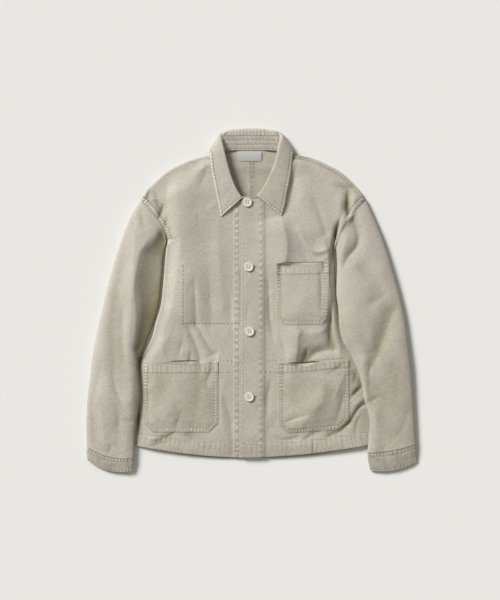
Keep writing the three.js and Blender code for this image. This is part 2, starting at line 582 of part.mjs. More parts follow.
// Lower edge of the stand, on the fronts and on the back, for the same rows as the collar table
const STAND_LOWER = [
  { x: -26, y: 218, z: 17.2 },
  { x: -36, y: 227, z: 17.2 },
  { x: -46, y: 244, z: 17.3 },
  { x: -56, y: 271, z: 17.3 },
  { x: -64, y: 294, z: 17 },
  { x: -66, y: 312, z: 15.5 },
  { x: -66, y: 324, z: 12 },
  { x: -62, y: 329, z: 9 },
  { x: -57, y: 330, z: 7 },
  { x: -48, y: 331, z: 6.4 },
  { x: -28, y: 331, z: 6.2 },
  { x: -3, y: 331, z: 6.2 },
  { x: 24, y: 331, z: 6.2 },
  { x: 44, y: 331, z: 6.4 },
  { x: 54, y: 330, z: 7 },
  { x: 59, y: 329, z: 9 },
  { x: 63, y: 324, z: 12 },
  { x: 64, y: 312, z: 15.5 },
  { x: 62, y: 294, z: 17 },
  { x: 52, y: 271, z: 17.3 },
  { x: 42, y: 247, z: 17.8 },
  { x: 31, y: 233, z: 18.8 },
  { x: 19, y: 224, z: 19.2 },
];

/** The stand's wall, from its lower edge to the leaf's root, a seam's gap short of it. */
function standGeometry() {
  const outer = [];
  const inner = [];
  COLLAR.forEach((row, j) => {
    const { root, across, out } = leafSection(row);
    const lower = new THREE.Vector3(STAND_LOWER[j].x, STAND_LOWER[j].y, STAND_LOWER[j].z);
    const upper = root.clone().addScaledVector(out, 2 * SEAM_GAP);
    const face = [lower, lower.clone().lerp(upper, 0.5), upper];
    outer.push(face);
    inner.push(face.map((p) => p.clone().addScaledVector(across, -CLOTH)));
  });
  return wallBetween(outer, inner);
}

/** A patch pocket made from its panel's own heights, moved out. */
function pocketGeometry(panel, pocket) {
  const outer = [];
  const inner = [];
  for (let j = 0; j <= pocket.rows; j++) {
    const v = j / pocket.rows;
    const outerRow = [];
    const innerRow = [];
    for (let i = 0; i <= pocket.columns; i++) {
      const u = i / pocket.columns;
      const bottom = pocket.bottom + pocket.slant * u;
      const fromSide = Math.min(u, 1 - u) * (pocket.x1 - pocket.x0);
      const cut = Math.max(0, pocket.corner - fromSide);
      const x = mix(pocket.x0, pocket.x1, u);
      const y = mix(bottom + cut, pocket.top, v);
      const z = frontTop(panel, x, y) + PATCH_GAP;
      outerRow.push(new THREE.Vector3(x, y, z + PATCH_CLOTH));
      innerRow.push(new THREE.Vector3(x, y, z));
    }
    outer.push(outerRow);
    inner.push(innerRow);
  }
  return wallBetween(outer, inner);
}

/** A plain three.js solid as a manifold-3d one. */
function solidOf(geometry) {
  const bare = new THREE.BufferGeometry();
  bare.setAttribute("position", geometry.getAttribute("position").clone());
  if (geometry.index) bare.setIndex(geometry.index.clone());
  const merged = mergeVertices(bare, 1e-4);
  return new wasm.Manifold(
    new wasm.Mesh({
      numProp: 3,
      vertProperties: new Float32Array(merged.attributes.position.array),
      triVerts: new Uint32Array(merged.index.array),
    }),
  );
}

function geometryOf(solid) {
  const mesh = solid.getMesh();
  const geometry = new THREE.BufferGeometry();
  geometry.setAttribute("position", new THREE.BufferAttribute(mesh.vertProperties, 3));
  geometry.setIndex(new THREE.BufferAttribute(mesh.triVerts, 1));
  return geometry;
}

/** A four-hole button with a raised rim, its back at z 0. */
function buttonGeometry() {
  const [r, h] = [BUTTON_RADIUS, BUTTON_HEIGHT];
  const profile = [
    [0, 0],
    [r * 0.8, 0],
    [r, h * 0.45],
    [r * 0.96, h * 0.85],
    [r * 0.84, h],
    [r * 0.66, h * 0.72],
    [0, h * 0.66],
  ].map(([x, y]) => new THREE.Vector2(x, y));
  const upright = (geometry) => geometry.rotateX(Math.PI / 2);
  let button = solidOf(upright(new THREE.LatheGeometry(profile, 20)));
  const { radius, spread, sides } = BUTTON_HOLE;
  for (const x of [-spread, spread]) {
    for (const y of [-spread, spread]) {
      const drill = upright(new THREE.CylinderGeometry(radius, radius, 4 * h, sides)).translate(x, y, 0);
      button = button.subtract(solidOf(drill));
    }
  }
  return geometryOf(button);
}

const FRONT_COUNTS = { columns: 14, sideRows: 21, armholeRows: 8, shoulderRows: 8 };
const rightFront = {
  ...FRONT_COUNTS,
  turn: 1,
  edgeX: UNDER_EDGE_X,
  laps: false,
  side: RIGHT_SIDE,
  armhole: RIGHT_ARMHOLE,
  shoulder: RIGHT_SHOULDER,
  neck: RIGHT_NECK,
};
const leftFront = {
  ...FRONT_COUNTS,
  turn: -1,
  edgeX: LAP_EDGE_X,
  laps: true,
  side: LEFT_SIDE,
  armhole: LEFT_ARMHOLE,
  shoulder: LEFT_SHOULDER,
  neck: LEFT_NECK,
};
rightFront.rows = outlineRows(rightFront);
leftFront.rows = outlineRows(leftFront);

const jacket = new THREE.Group();
jacket.name = "chore_jacket";

function addPiece(name, geometry, { colour = CLOTH_COLOUR, roughness = 0.92 } = {}) {
  const mesh = new THREE.Mesh(geometry, new THREE.MeshStandardMaterial({ color: colour, roughness, metalness: 0 }));
  mesh.name = name;
  jacket.add(mesh);
  return mesh;
}

const sleeve = { sections: 24, points: 22, thickness: CLOTH };
const cuff = { sections: 3, points: 22, thickness: CUFF_CLOTH };

addPiece("back_right", backGeometry(rightFront, 7));
addPiece("back_left", backGeometry(leftFront, 7));
addPiece("front_right", frontGeometry(rightFront));
addPiece("front_left", frontGeometry(leftFront));
addPiece("sleeve_right", sleeveGeometry({ ...sleeve, table: RIGHT_SLEEVE, armhole: RIGHT_ARMHOLE }));
addPiece("sleeve_left", sleeveGeometry({ ...sleeve, table: LEFT_SLEEVE, armhole: LEFT_ARMHOLE }));
addPiece("cuff_right", sleeveGeometry({ ...cuff, table: RIGHT_CUFF }));
addPiece("cuff_left", sleeveGeometry({ ...cuff, table: LEFT_CUFF }));
addPiece("collar_leaf", leafGeometry());
addPiece("collar_stand", standGeometry());
addPiece("pocket_chest", pocketGeometry(leftFront, CHEST_POCKET));
addPiece("pocket_lower_left", pocketGeometry(leftFront, LOWER_LEFT_POCKET));
addPiece("pocket_lower_right", pocketGeometry(rightFront, LOWER_RIGHT_POCKET));

const labelAt = bedHeight(0, LABEL.y0) + CLOTH + SEAM_GAP;
const label = addPiece(
  "neck_label",
  new THREE.BoxGeometry(LABEL.x1 - LABEL.x0, LABEL.y1 - LABEL.y0, LABEL_CLOTH),
  { colour: 0xd5d4d0, roughness: 0.7 },
);
label.position.set((LABEL.x0 + LABEL.x1) / 2, (LABEL.y0 + LABEL.y1) / 2, labelAt + LABEL_CLOTH / 2);

BUTTONS.forEach(({ x, y }, n) => {
  const button = addPiece(`button_${n + 1}`, buttonGeometry(), { colour: 0xd8d2bd, roughness: 0.45 });
  button.position.set(x, y, frontTop(leftFront, x, y) + SEAM_GAP + 0.4);
});

export default jacket;
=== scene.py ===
"""A washed cotton twill chore jacket, buttoned and laid flat on its back, seen straight from above.

Sizes are in millimetres and become metres where a mesh is made. The stage and the camera are given in
metres. +X runs to the wearer's left, +Y towards the collar and +Z up off the surface. "left" and
"right" are the wearer's.
"""

import math
from types import SimpleNamespace as Part

import bpy
import numpy as np
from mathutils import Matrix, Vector


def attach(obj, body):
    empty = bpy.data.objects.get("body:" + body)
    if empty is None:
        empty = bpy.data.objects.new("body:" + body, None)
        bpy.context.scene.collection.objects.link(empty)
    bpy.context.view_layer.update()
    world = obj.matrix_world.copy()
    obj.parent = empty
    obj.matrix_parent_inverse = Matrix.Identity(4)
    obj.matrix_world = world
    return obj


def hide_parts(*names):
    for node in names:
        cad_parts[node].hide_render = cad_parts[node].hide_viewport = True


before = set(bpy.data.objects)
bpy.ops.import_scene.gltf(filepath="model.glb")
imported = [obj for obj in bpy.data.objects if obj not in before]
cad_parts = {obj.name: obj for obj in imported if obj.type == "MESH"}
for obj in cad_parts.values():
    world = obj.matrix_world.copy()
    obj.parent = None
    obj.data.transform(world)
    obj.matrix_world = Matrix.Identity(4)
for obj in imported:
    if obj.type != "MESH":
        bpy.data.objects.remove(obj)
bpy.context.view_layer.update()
MM = 0.001

# Cloth
CLOTH = 1.5
COLLAR_CLOTH = 2.0
CUFF_CLOTH = 2.2
SEAM_GAP = 0.35
TURNED = 0.9  # how far a hem or facing of two more layers stands up
STITCH_PITCH = 3.4
THREAD = 0.62

# Front opening and hem
LAP_EDGE_X = -22
UNDER_EDGE_X = 14
LAP_RISE = 2.6
LAP_FADE = 22
HEM_Y = -346
HEM_BOW = 7
HEM_WIDTH = 29

# Armhole and the bed that the turned-under collar leaf makes for the back's upper end
ARMHOLE_HEIGHT = 18
ARMHOLE_EDGE = 5
FULLNESS = 0.75
LEAF_BED = 2.7
LEAF_BED_HALF_WIDTH = 103
LEAF_BED_Y = 296
LEAF_BED_SLOPE = 24
BACK_NECK_Y = 335
BACK_NECK_CORNER_Y = 330


def rows(names, *values):
    """A short table, given row by row, as named columns."""
    return {name: np.array(column, float) for name, column in zip(names.split(), zip(*values))}


LOFT = rows("y z", (-356, 5.5), (-316, 10.5), (-150, 13.5), (40, 16), (200, 16), (330, 14))

RIGHT_SIDE = rows(
    "x y roll rise",
    (-254, -320, 3.5, 34),
    (-252, -296, 3.5, 34),
    (-251, -263, 3, 34),
    (-252, -199, 3, 30),
    (-251, -165, 3, 30),
    (-247, -134, 3.5, 26),
    (-222, -87, 4.5, 22),
    (-211, -47, 5, 22),
    (-200, -10, 5, 22),
    (-195, 34, 5, 24),
    (-191, 85, 5, 26),
    (-187, 131, 5, 30),
)
RIGHT_ARMHOLE = rows("x y", (-187, 131), (-192, 150), (-204, 173), (-225, 200), (-245, 221))
RIGHT_SHOULDER = rows(
    "x y roll rise",
    (-245, 221, 5, 34),
    (-230, 243, 5.5, 35),
    (-210, 264, 5.5, 46),
    (-184, 286, 5.5, 52),
    (-144, 306, 5.5, 46),
    (-113, 315.5, 4, 22),
    (-86, 319, 4, 14),
)
RIGHT_NECK = rows("x y", (14, 205), (-19, 215), (-45, 243), (-57, 270), (-67, 296), (-74, 310))
LEFT_SIDE = rows(
    "x y roll rise",
    (271, -316, 2.5, 40),
    (270, -290, 2.5, 40),
    (266, -240, 2.5, 40),
    (258, -197, 2.5, 40),
    (247, -157, 2.5, 36),
    (230, -122, 2.5, 32),
    (213, -98, 2.5, 26),
    (197, -54, 3, 15),
    (189, -10, 4, 11),
    (185, 34, 5, 10),
    (184, 78, 5, 10),
    (186, 118, 5, 18),
)
LEFT_ARMHOLE = rows("x y", (186, 118), (192, 136), (204, 160), (228, 196), (252, 222))
LEFT_SHOULDER = rows(
    "x y roll rise",
    (252, 222, 5, 34),
    (237, 242, 5.5, 35),
    (217, 264, 5.5, 46),
    (193, 285, 5.5, 52),
    (155, 305, 5.5, 46),
    (124, 316, 4, 22),
    (88, 321, 4, 14),
)
LEFT_NECK = rows("x y", (-22, 229), (12, 227), (36, 244), (53, 270), (65, 296), (75, 312))

SLEEVE_COLUMNS = "out_x out_y in_x in_y height out_edge in_edge lift sag"
RIGHT_SLEEVE = rows(
    SLEEVE_COLUMNS,
    (-245, 221, -187, 131, 18, 5, 5, 0, 0),
    (-272, 173, -193.5, 100, 21, 6, 4, 0, 1),
    (-294, 111, -198, 46, 23, 6, 3, 0, 2),
    (-314, 45, -203, -3, 24, 6, 2.6, 0, 2),
    (-330, -25, -215, -48, 24, 6, 2.6, 0, 1),
    (-343, -82, -231, -92, 24, 6, 2.6, 0, 0),
    (-351, -127, -247, -131, 24, 6, 3.5, 4.5, 0),
    (-356, -166, -247, -171, 23, 6, 4, 7.6, 0),
    (-360, -203, -245, -205, 22, 6, 4, 7.6, 0),
    (-363, -241, -249, -243, 20, 5.5, 4, 7.2, 2),
    (-364, -282, -256, -287, 18, 5, 4, 5.5, 6),
    (-363, -321.5, -260, -346.5, 15, 5, 5, 5.5, 9.5),
)
LEFT_SLEEVE = rows(
    SLEEVE_COLUMNS,
    (252, 222, 186, 118, 18, 5, 5, 0, 0),
    (272, 177, 188.5, 86, 21, 6, 5, 0, 1),
    (292, 127, 187.5, 50, 22, 7, 5, 0, 2),
    (309, 72, 187, 14, 23, 8, 5, 0, 2),
    (324, 19, 191, -22, 23, 8, 5, 1.5, 1),
    (336, -32, 193, -56, 23, 8, 5, 6.6, 0),
    (343, -80, 201, -90, 23, 8, 5, 7.4, 0),
    (349, -125, 222, -127, 23, 8, 5, 7.4, 0),
    (353, -168, 239, -169, 22, 8, 4.5, 7.4, 0),
    (356, -216, 248, -217, 20, 7.5, 4.5, 7.4, 0),
    (359, -264, 260, -266, 19, 7, 4.5, 7.4, 1),
    (362, -316, 255, -334.5, 18, 7, 5, 6.6, 4),
)
RIGHT_CUFF = rows(
    SLEEVE_COLUMNS,
    (-363, -321.9, -260, -346.9, 16, 5.5, 5.5, 5.5, 9.5),
    (-363.5, -337, -261, -360, 13, 5, 5, 5.5, 10.5),
    (-362, -351, -263, -374, 8.5, 4, 4, 5, 12),
)
LEFT_CUFF = rows(
    SLEEVE_COLUMNS,
    (362, -316.4, 255, -334.9, 18, 7.2, 5.5, 6.6, 4),
    (363.5, -334, 257, -354, 14.5, 5, 5, 3, 6),
    (364, -354, 262, -375, 8.5, 4, 4, 0, 8),
)

COLLAR = rows(
    "tip_x tip_y tip_z edge_x edge_y edge_z turn fold reach",
    (-20, 227, 21.5, -67, 185, 19.2, 0, 5, 7),
    (-28, 238, 21.5, -72, 208, 19.2, 0, 5, 9),
    (-37, 255, 21.8, -77, 234, 19.2, 0, 5, 11),
    (-46, 280, 22, -84, 265, 19, 0, 5, 12),
    (-54, 309, 22, -89, 293, 18.6, 0, 6, 13),
    (-60, 335, 21, -91, 315, 17.6, 15, 7, 13),
    (-64, 353, 18, -94, 325.5, 13, 50, 9, 13),
    (-66, 364, 13, -94.5, 329, 7.5, 90, 9, 13),
    (-61, 371, 8.5, -91, 328, 2, 140, 12, 14),
    (-52, 375, 7, -80, 318, 0, 180, 14, 14),
    (-30, 378, 7, -42, 310, 0, 180, 13.4, 15),
    (-3, 379, 7, -3, 308, 0, 180, 12.8, 15),
    (26, 378, 7, 37, 310, 0, 180, 13.2, 15),
    (48, 375, 7, 76, 320, 0, 180, 13.8, 14),
    (58, 371, 8.5, 88, 331, 2, 140, 12, 14),
    (63, 364, 13, 92, 333, 7.5, 90, 9, 13),
    (62, 354, 18, 92, 329, 13, 50, 9, 13),
    (58, 337, 21, 90, 317, 17.6, 15, 7, 13),
    (52, 309, 22, 88, 294, 18.6, 0, 6, 13),
    (42, 282, 22, 83, 265, 19.6, 0, 5, 12),
    (31, 258, 22.4, 77, 234, 19.6, 0, 5, 11),
    (21, 242, 22.8, 72, 208, 19.4, 0, 5, 9),
    (12, 232, 22.8, 66, 186, 19.4, 0, 5, 7),
)
STAND_FOOT = rows(
    "x y z",
    (-26, 218, 17.2),
    (-36, 227, 17.2),
    (-46, 244, 17.3),
    (-56, 271, 17.3),
    (-64, 294, 17),
    (-66, 312, 15.5),
    (-66, 324, 12),
    (-62, 329, 9),
    (-57, 330, 7),
    (-48, 331, 6.4),
    (-28, 331, 6.2),
    (-3, 331, 6.2),
    (24, 331, 6.2),
    (44, 331, 6.4),
    (54, 330, 7),
    (59, 329, 9),
    (63, 324, 12),
    (64, 312, 15.5),
    (62, 294, 17),
    (52, 271, 17.8),
    (42, 247, 17.8),
    (31, 233, 18.8),
    (19, 224, 19.2),
)

# Folds. Each is (height, width left of the path, width right of it, path of x, y and strength). Below zero
# it is a trough, above it a crest.
RIGHT_FRONT_FOLDS = [
    (10.0, 50, 30, [(-166, 288, 0.3), (-162, 262, 0.7), (-158, 232, 1), (-157, 200, 1), (-156, 160, 1),
                    (-152, 120, 1), (-146, 90, 1), (-144, 60, 1), (-146, 20, 0.9), (-147, -20, 0.7),
                    (-146, -52, 0.2)]),
    (-4.5, 8, 24, [(-180, 280, 0.2), (-185, 256, 1), (-187, 226, 1), (-185, 196, 1), (-180, 168, 0.8),
                   (-174, 140, 0)]),
    (-2.6, 5, 8, [(-126, 60, 0), (-125, 30, 0.7), (-123, 0, 1), (-122, -30, 1), (-121, -52, 0.8)]),
    (-4.6, 5, 9, [(-150, -48, 0.2), (-138, -62, 1), (-128, -84, 1), (-119, -108, 1), (-113.5, -130, 1),
                  (-112, -144, 0.5)]),
    (-4.2, 4.5, 6, [(-124, -50, 0.5), (-112, -70, 1), (-98, -94, 1), (-87, -111, 1), (-79, -119, 0.7),
                    (-73, -121, 0)]),
    (-2.2, 3, 4, [(-77, -117, 0.8), (-88, -120, 0.7), (-98, -127, 0.1)]),
    (-1.8, 9, 14, [(-94, 110, 0), (-93, 60, 0.5), (-90, 10, 1), (-88, -30, 1), (-91, -54, 0.7),
                   (-93, -72, 0)]),
    (3.4, 14, 14, [(-168, -68, 0), (-182, -80, 0.7), (-193, -96, 1), (-195, -114, 1), (-184, -134, 0.6)]),
    (-2.0, 5, 6, [(-152, -84, 0), (-155, -104, 1), (-160, -122, 0.3)]),
    (-2.6, 4, 4, [(-134, -110, 0), (-135, -126, 1), (-136, -140, 1)]),
    (-1.8, 8, 8, [(-98, 288, 0.6), (-104, 272, 1), (-110, 258, 0.8), (-119, 244, 0)]),
    (-2.6, 8, 8, [(-149, 306, 0.6), (-146, 290, 0.9), (-140, 274, 0.2)]),
    (2.2, 5, 7, [(-138, 300, 0.3), (-126, 290, 1), (-112, 288, 0.4)]),
    (-1.8, 5, 6, [(-116, 306, 0.4), (-121, 297, 1), (-126, 290, 0.3)]),
    (2.0, 14, 14, [(-70, 190, 0.2), (-74, 120, 1), (-68, 40, 1), (-66, -30, 0.3)]),
    (-2.0, 7, 9, [(-48, 30, 0), (-46, -30, 1), (-44, -70, 0.3)]),
    (-2.4, 7, 9, [(-70, -176, 0), (-58, -220, 0.7), (-46, -262, 1), (-44, -300, 0.8), (-40, -332, 0.3)]),
    (2.0, 9, 9, [(-62, -180, 0.4), (-66, -230, 1), (-60, -290, 0.3)]),
]
LEFT_FRONT_FOLDS = [
    (9.0, 14, 36, [(63, 187, 0), (66, 174, 0.6), (70, 158, 1), (75, 138, 1), (77, 118, 1), (75, 98, 1),
                   (72, 82, 0.9), (69, 56, 0.4), (66, 24, 0)]),
    (4.4, 20, 26, [(104, 270, 0), (114, 238, 0.8), (128, 204, 1), (142, 176, 1), (152, 156, 0.8),
                   (158, 142, 0.3)]),
    (-2.6, 6, 14, [(134, 236, 0.1), (148, 200, 0.7), (158, 168, 1), (163, 152, 1), (167, 138, 0.4)]),
    (4.2, 9, 7, [(98, 168, 0), (110, 144, 0.9), (121, 124, 1), (134, 110, 1), (148, 106, 1), (160, 110, 1),
                 (172, 113, 0.8), (181, 121, 0.2)]),
    (1.8, 8, 6, [(144, 82, 0.3), (158, 89, 1), (174, 100, 1), (181, 112, 0.2)]),
    (-2.8, 7, 8, [(98, 152, 0), (111, 129, 0.9), (124, 111, 1), (139, 98, 1), (154, 96, 0.4)]),
    (-4.0, 13, 6, [(98, 302, 0.3), (92, 264, 1), (86, 230, 1), (78, 198, 0.5), (72, 184, 0)]),
    (-1.8, 8, 8, [(100, 126, 0), (112, 106, 0.9), (122, 88, 1), (126, 74, 0.4)]),
    (1.8, 8, 9, [(192, 236, 0), (196, 214, 1), (192, 190, 0.7), (178, 168, 0)]),
    (-3.2, 7, 6, [(36, 60, 0.2), (38, 30, 0.8), (39, -10, 1), (41, -45, 1), (46, -75, 0.7), (52, -100, 0)]),
    (6.5, 9, 26, [(113, -63, 0), (105, -71, 0.8), (101, -82, 1), (100.5, -104, 1), (98, -124, 1),
                  (96, -142, 0.7)]),
    (-8.0, 4.5, 4.5, [(122, -102, 0), (120.5, -118, 0.7), (120, -132, 1), (120, -144, 1)]),
    (-9.0, 18, 6, [(121, -136, 0.9), (132, -122, 1), (146, -114, 1), (166, -109, 0.9), (184, -107, 0.6),
                   (194, -106, 0)]),
    (-10.0, 5.5, 5.5, [(179, 12, 0), (177, -15, 0.5), (174.5, -40, 1), (174, -65, 1), (176, -88, 1),
                       (182, -106, 0.3)]),
    (2.6, 8, 8, [(126, -62, 0), (140, -72, 0.9), (158, -66, 0.6), (168, -52, 0)]),
    (-2.2, 6, 5, [(62, -70, 0), (70, -96, 0.8), (76, -124, 0.5)]),
    (-2.4, 4, 5, [(56, -302, 0.3), (74, -307, 1), (94, -303, 1), (110, -298, 0)]),
    (-2.4, 4, 5, [(112, -307, 0), (122, -303, 1), (134, -295, 1), (152, -288, 0.3)]),
    (-3.0, 5, 6, [(160, -307, 0), (176, -296, 1), (200, -286, 1), (216, -275, 0.3)]),
    (-2.2, 6, 6, [(44, -170, 0.2), (36, -210, 1), (34, -250, 0.4)]),
]
# Creases that run out at a front's own edge
RIGHT_FRONT_CREASES = [
    (-3.0, 5, 9, [(-214, 244, 0.1), (-209, 228, 1), (-205, 212, 1), (-203, 196, 0.3)]),
    (-3.6, 6, 6, [(-220, 254, 0.2), (-226, 238, 1), (-228, 222, 1), (-222, 206, 0.5)]),
    (-4.6, 3.6, 4.5, [(-193, 214, 0), (-197, 200, 1), (-201, 186, 1), (-206, 173, 1)]),
    (-2.2, 4, 4, [(-185, 184, 0), (-188, 170, 1), (-188, 156, 0.7)]),
    (-3.0, 3.5, 4.5, [(-208, -298, 0.5), (-190, -300, 1), (-178, -296, 1), (-166, -287, 0.3)]),
    (-2.2, 3.5, 4, [(-216, -312, 0.4), (-200, -308, 1), (-184, -303, 0.4)]),
    (-2.2, 4, 5, [(-228, -323, 0.3), (-206, -316, 1), (-184, -311, 0.8), (-168, -299, 0.2)]),
    (1.8, 5, 6, [(-236, -302, 0.4), (-214, -304, 1), (-196, -292, 0.3)]),
    (-2.0, 4, 5, [(-150, -300, 0), (-140, -296, 0.9), (-126, -302, 0.5)]),
]
LEFT_FRONT_CREASES = [
    (-2.6, 6, 6, [(174, 256, 0), (196, 250, 0.8), (212, 247, 1), (228, 249, 0.4)]),
    (-8.0, 5, 5, [(213, 246, 0), (212, 230, 0.6), (211, 208, 1), (213, 192, 0.9), (218, 178, 0.6)]),
    (-11.0, 3.4, 3.4, [(203, 184, 0), (194, 174, 0.35), (188.5, 161, 0.8), (186, 147, 1), (184.5, 128, 1),
                       (182.5, 108, 1), (182, 84, 0.3)]),
    (2.4, 6, 6, [(236, 232, 0.3), (226, 222, 1), (224, 204, 0.4)]),
    (3.6, 7, 6, [(209, 188, 0.2), (201, 176, 1), (194, 160, 0.6), (190, 148, 0)]),
    (-4.6, 3, 3.4, [(218, -215, 0.2), (228, -203, 1), (238, -193, 1), (242, -187, 0.9), (238, -178, 0.6),
                    (234, -166, 0)]),
    (-4.4, 3, 3.4, [(254, -226, 0.5), (241, -232, 1), (231, -244, 1), (223, -257, 1), (214, -270, 1),
                    (202, -279, 0.5), (188, -285, 0)]),
    (-2.2, 4, 5, [(241, -250, 0.3), (234, -264, 1), (230, -280, 0.8), (228, -300, 0.6), (228, -318, 0.2)]),
    (2.4, 6, 6, [(226, -232, 0.3), (238, -222, 1), (250, -210, 0.4)]),
    (-2.4, 4, 5, [(228, -150, 0), (230, -166, 1), (224, -184, 0.3)]),
]
RIGHT_SLEEVE_FOLDS = [
    (3.0, 5, 16, [(-214, 152, 0), (-230, 128, 0.6), (-244, 108, 1), (-250, 84, 1), (-256, 50, 1),
                  (-257, 10, 1), (-254, -30, 1), (-256, -80, 1), (-262, -112, 0.8), (-256, -140, 0.2)]),
    (-2.4, 8, 12, [(-276, 20, 0), (-284, -40, 1), (-282, -100, 1), (-276, -150, 0.2)]),
    (-3.0, 7, 7, [(-262, 206, 0.1), (-264, 184, 1), (-259, 160, 1), (-252, 142, 0.2)]),
    (-2.6, 5, 7, [(-306, -150, 0), (-300, -186, 0.8), (-290, -214, 1), (-276, -236, 0.3)]),
    (-3.0, 6, 6, [(-240, 210, 0.2), (-241, 192, 1), (-238, 172, 0.9), (-236, 152, 0.1)]),
    (3.0, 12, 14, [(-252, 200, 0.2), (-256, 150, 1), (-258, 90, 1), (-262, 20, 1), (-268, -60, 1),
                   (-270, -130, 0.3)]),
    (-4.0, 18, 18, [(-274, 160, 0.2), (-284, 80, 1), (-296, 10, 1), (-304, -50, 1), (-303, -120, 1),
                    (-300, -190, 0.4)]),
    (3.4, 18, 26, [(-322, -166, 0.2), (-317, -196, 1), (-305, -215, 1), (-288, -224, 1), (-268, -222, 1),
                   (-250, -210, 0.3)]),
    (-3.2, 10, 12, [(-328, -110, 0), (-340, -180, 0.8), (-350, -226, 1), (-347, -280, 1),
                    (-345, -322, 0.6)]),
    (-3.2, 4, 6, [(-280, -256, 0), (-270, -265, 1), (-258, -262, 0.8)]),
    (-1.8, 3.5, 4, [(-303, -312, 0), (-310, -326, 1), (-318, -342, 0.8)]),
    (2.4, 10, 10, [(-330, -236, 0.2), (-326, -280, 1), (-322, -316, 0.4)]),
    (-2.4, 8, 10, [(-296, -226, 0.2), (-292, -262, 1), (-288, -300, 0.2)]),
]
LEFT_SLEEVE_FOLDS = [
    (-7.0, 7, 10, [(219, 186, 1), (228, 168, 1), (235, 148, 1), (235, 130, 1), (227, 112, 1), (213, 97, 1),
                   (204, 80, 0.7), (197, 64, 0.1)]),
    (3.0, 10, 10, [(212, 152, 0.2), (206, 124, 1), (196, 96, 1), (190, 70, 0.3)]),
    (-3.2, 12, 16, [(234, 84, 0.1), (250, 58, 1), (268, 42, 1), (284, 29, 0.8), (297, 20, 0.2)]),
    (-3.4, 8, 20, [(299, 21, 0.2), (286, 8, 1), (270, -4, 0.9), (254, -20, 0.2)]),
    (-9.0, 11, 22, [(322, 0, 0.2), (312, -22, 0.9), (303, -48, 1), (295, -74, 1), (285, -98, 1),
                    (277, -118, 1), (268, -140, 0.5)]),
    (5.5, 12, 12, [(256, -116, 0), (246, -134, 0.7), (243, -150, 1), (244, -176, 1), (247, -204, 1),
                   (250, -222, 0.5)]),
    (-5.0, 7, 11, [(263, -136, 0.3), (258, -168, 1), (258, -198, 1), (263, -218, 0.5)]),
    (-5.0, 6, 4, [(249, -229, 0.8), (258, -223, 1), (272, -216, 0.7), (280, -211, 0)]),
    (3.4, 9, 9, [(266, -234, 0.2), (272, -250, 1), (272, -290, 0.3)]),
    (-2.6, 10, 12, [(350, -210, 0), (344, -250, 1), (330, -286, 0.8), (306, -314, 0.3)]),
    (-3.0, 7, 8, [(268, -340, 0.4), (276, -331, 1), (292, -325, 0.9), (306, -318, 0.2)]),
    (2.2, 14, 14, [(300, 90, 0.2), (286, 60, 1), (300, 20, 0.2)]),
]
# Where a sleeve falls away to the left of a path of x, y and slope
RIGHT_SLEEVE_SLOPES = [
    [(-194, 186, 0.1), (-203, 164, 0.45), (-212, 142, 0.6), (-226, 125, 0.5), (-239, 110, 0.42),
     (-245, 84, 0.4), (-251, 56, 0.4), (-252, 20, 0.44), (-249, -10, 0.5), (-250, -45, 0.6),
     (-254, -85, 0.85), (-259, -108, 1.1), (-256, -128, 0.9), (-250, -165, 0)],
]
SLOPE_DEPTH = 19

CHEST_POCKET = Part(x0=55, x1=170, top=82, bottom=-53, slant=0, corner=15, sag=0, rise=2, band=25,
                    band_rise=1, gape=1.3, mouth=(58, 168),
                    folds=[(3.0, 26, 20, [(122, 50, 0), (114, 10, 0.8), (104, -14, 1), (90, -44, 0.4)]),
                           (-2.4, 5, 5, [(152, 60, 0.6), (154, 20, 1), (153, -20, 0.4)]),
                           (-2.0, 2.5, 2.5, [(158, 84, 1), (159, 70, 1), (158, 60, 0.2)])])
LOWER_RIGHT_POCKET = Part(x0=-238, x1=-74, top=-134, bottom=-290, slant=0, corner=20, sag=0.8, rise=0,
                          band=25, band_rise=0, gape=2.4, mouth=(-186, -108),
                          folds=[(-2.8, 4, 6, [(-84, -134, 1), (-86, -152, 1), (-90, -166, 1),
                                               (-95, -182, 0.7), (-99, -204, 0)]),
                                 (-3.0, 18, 24, [(-97, -160, 0.2), (-108, -184, 0.9), (-117, -210, 1),
                                                 (-122, -236, 1), (-126, -260, 0.9), (-131, -284, 0.4)]),
                                 (-2.2, 8, 8, [(-150, -236, 0), (-160, -260, 1), (-167, -282, 0.7)]),
                                 (-2.0, 5, 5, [(-225, -160, 0.3), (-227, -190, 1), (-227, -236, 0.4)]),
                                 (2.2, 14, 14, [(-204, -210, 0), (-188, -236, 0.9), (-172, -250, 0.2)]),
                                 (-2.0, 5, 8, [(-113, -138, 1), (-112, -150, 1), (-115, -162, 0.3)])])
LOWER_LEFT_POCKET = Part(x0=59, x1=215, top=-137, bottom=-293, slant=10, corner=20, sag=4, rise=6, band=22,
                         band_rise=7, gape=3.2, mouth=(76, 154),
                         folds=[(5.0, 16, 28, [(159, -160, 0.3), (160, -182, 0.8), (158, -206, 1),
                                               (150, -227, 1), (134, -243, 1), (118, -263, 1),
                                               (106, -282, 0.5)]),
                                (2.0, 8, 9, [(211, -148, 0.2), (198, -176, 1), (188, -202, 1),
                                             (180, -230, 0.2)]),
                                (-3.0, 6, 6, [(205, -138, 0.5), (190, -149, 1), (172, -160, 0.3)]),
                                (-2.8, 5, 5, [(72, -271, 0), (84, -264, 1), (98, -259, 1), (118, -253, 0.6),
                                              (136, -247, 0.1)]),
                                (-2.4, 6, 8, [(204, -196, 0), (200, -222, 1), (192, -250, 0.8),
                                              (186, -276, 0.3)])])
POCKET_CLOTH = 1.2

BUTTON_RADIUS = 10.3
BUTTON_HEIGHT = 3.2
BUTTONS = [(-9, 216), (-6, 74), (-4, -68), (-5, -212)]
LABEL = Part(x0=-32, x1=22, y0=307, y1=329)


def smooth(value):
    k = np.clip(value, 0, 1)
    return k * k * (3 - 2 * k)


def mix(a, b, k):
    return a + (b - a) * k


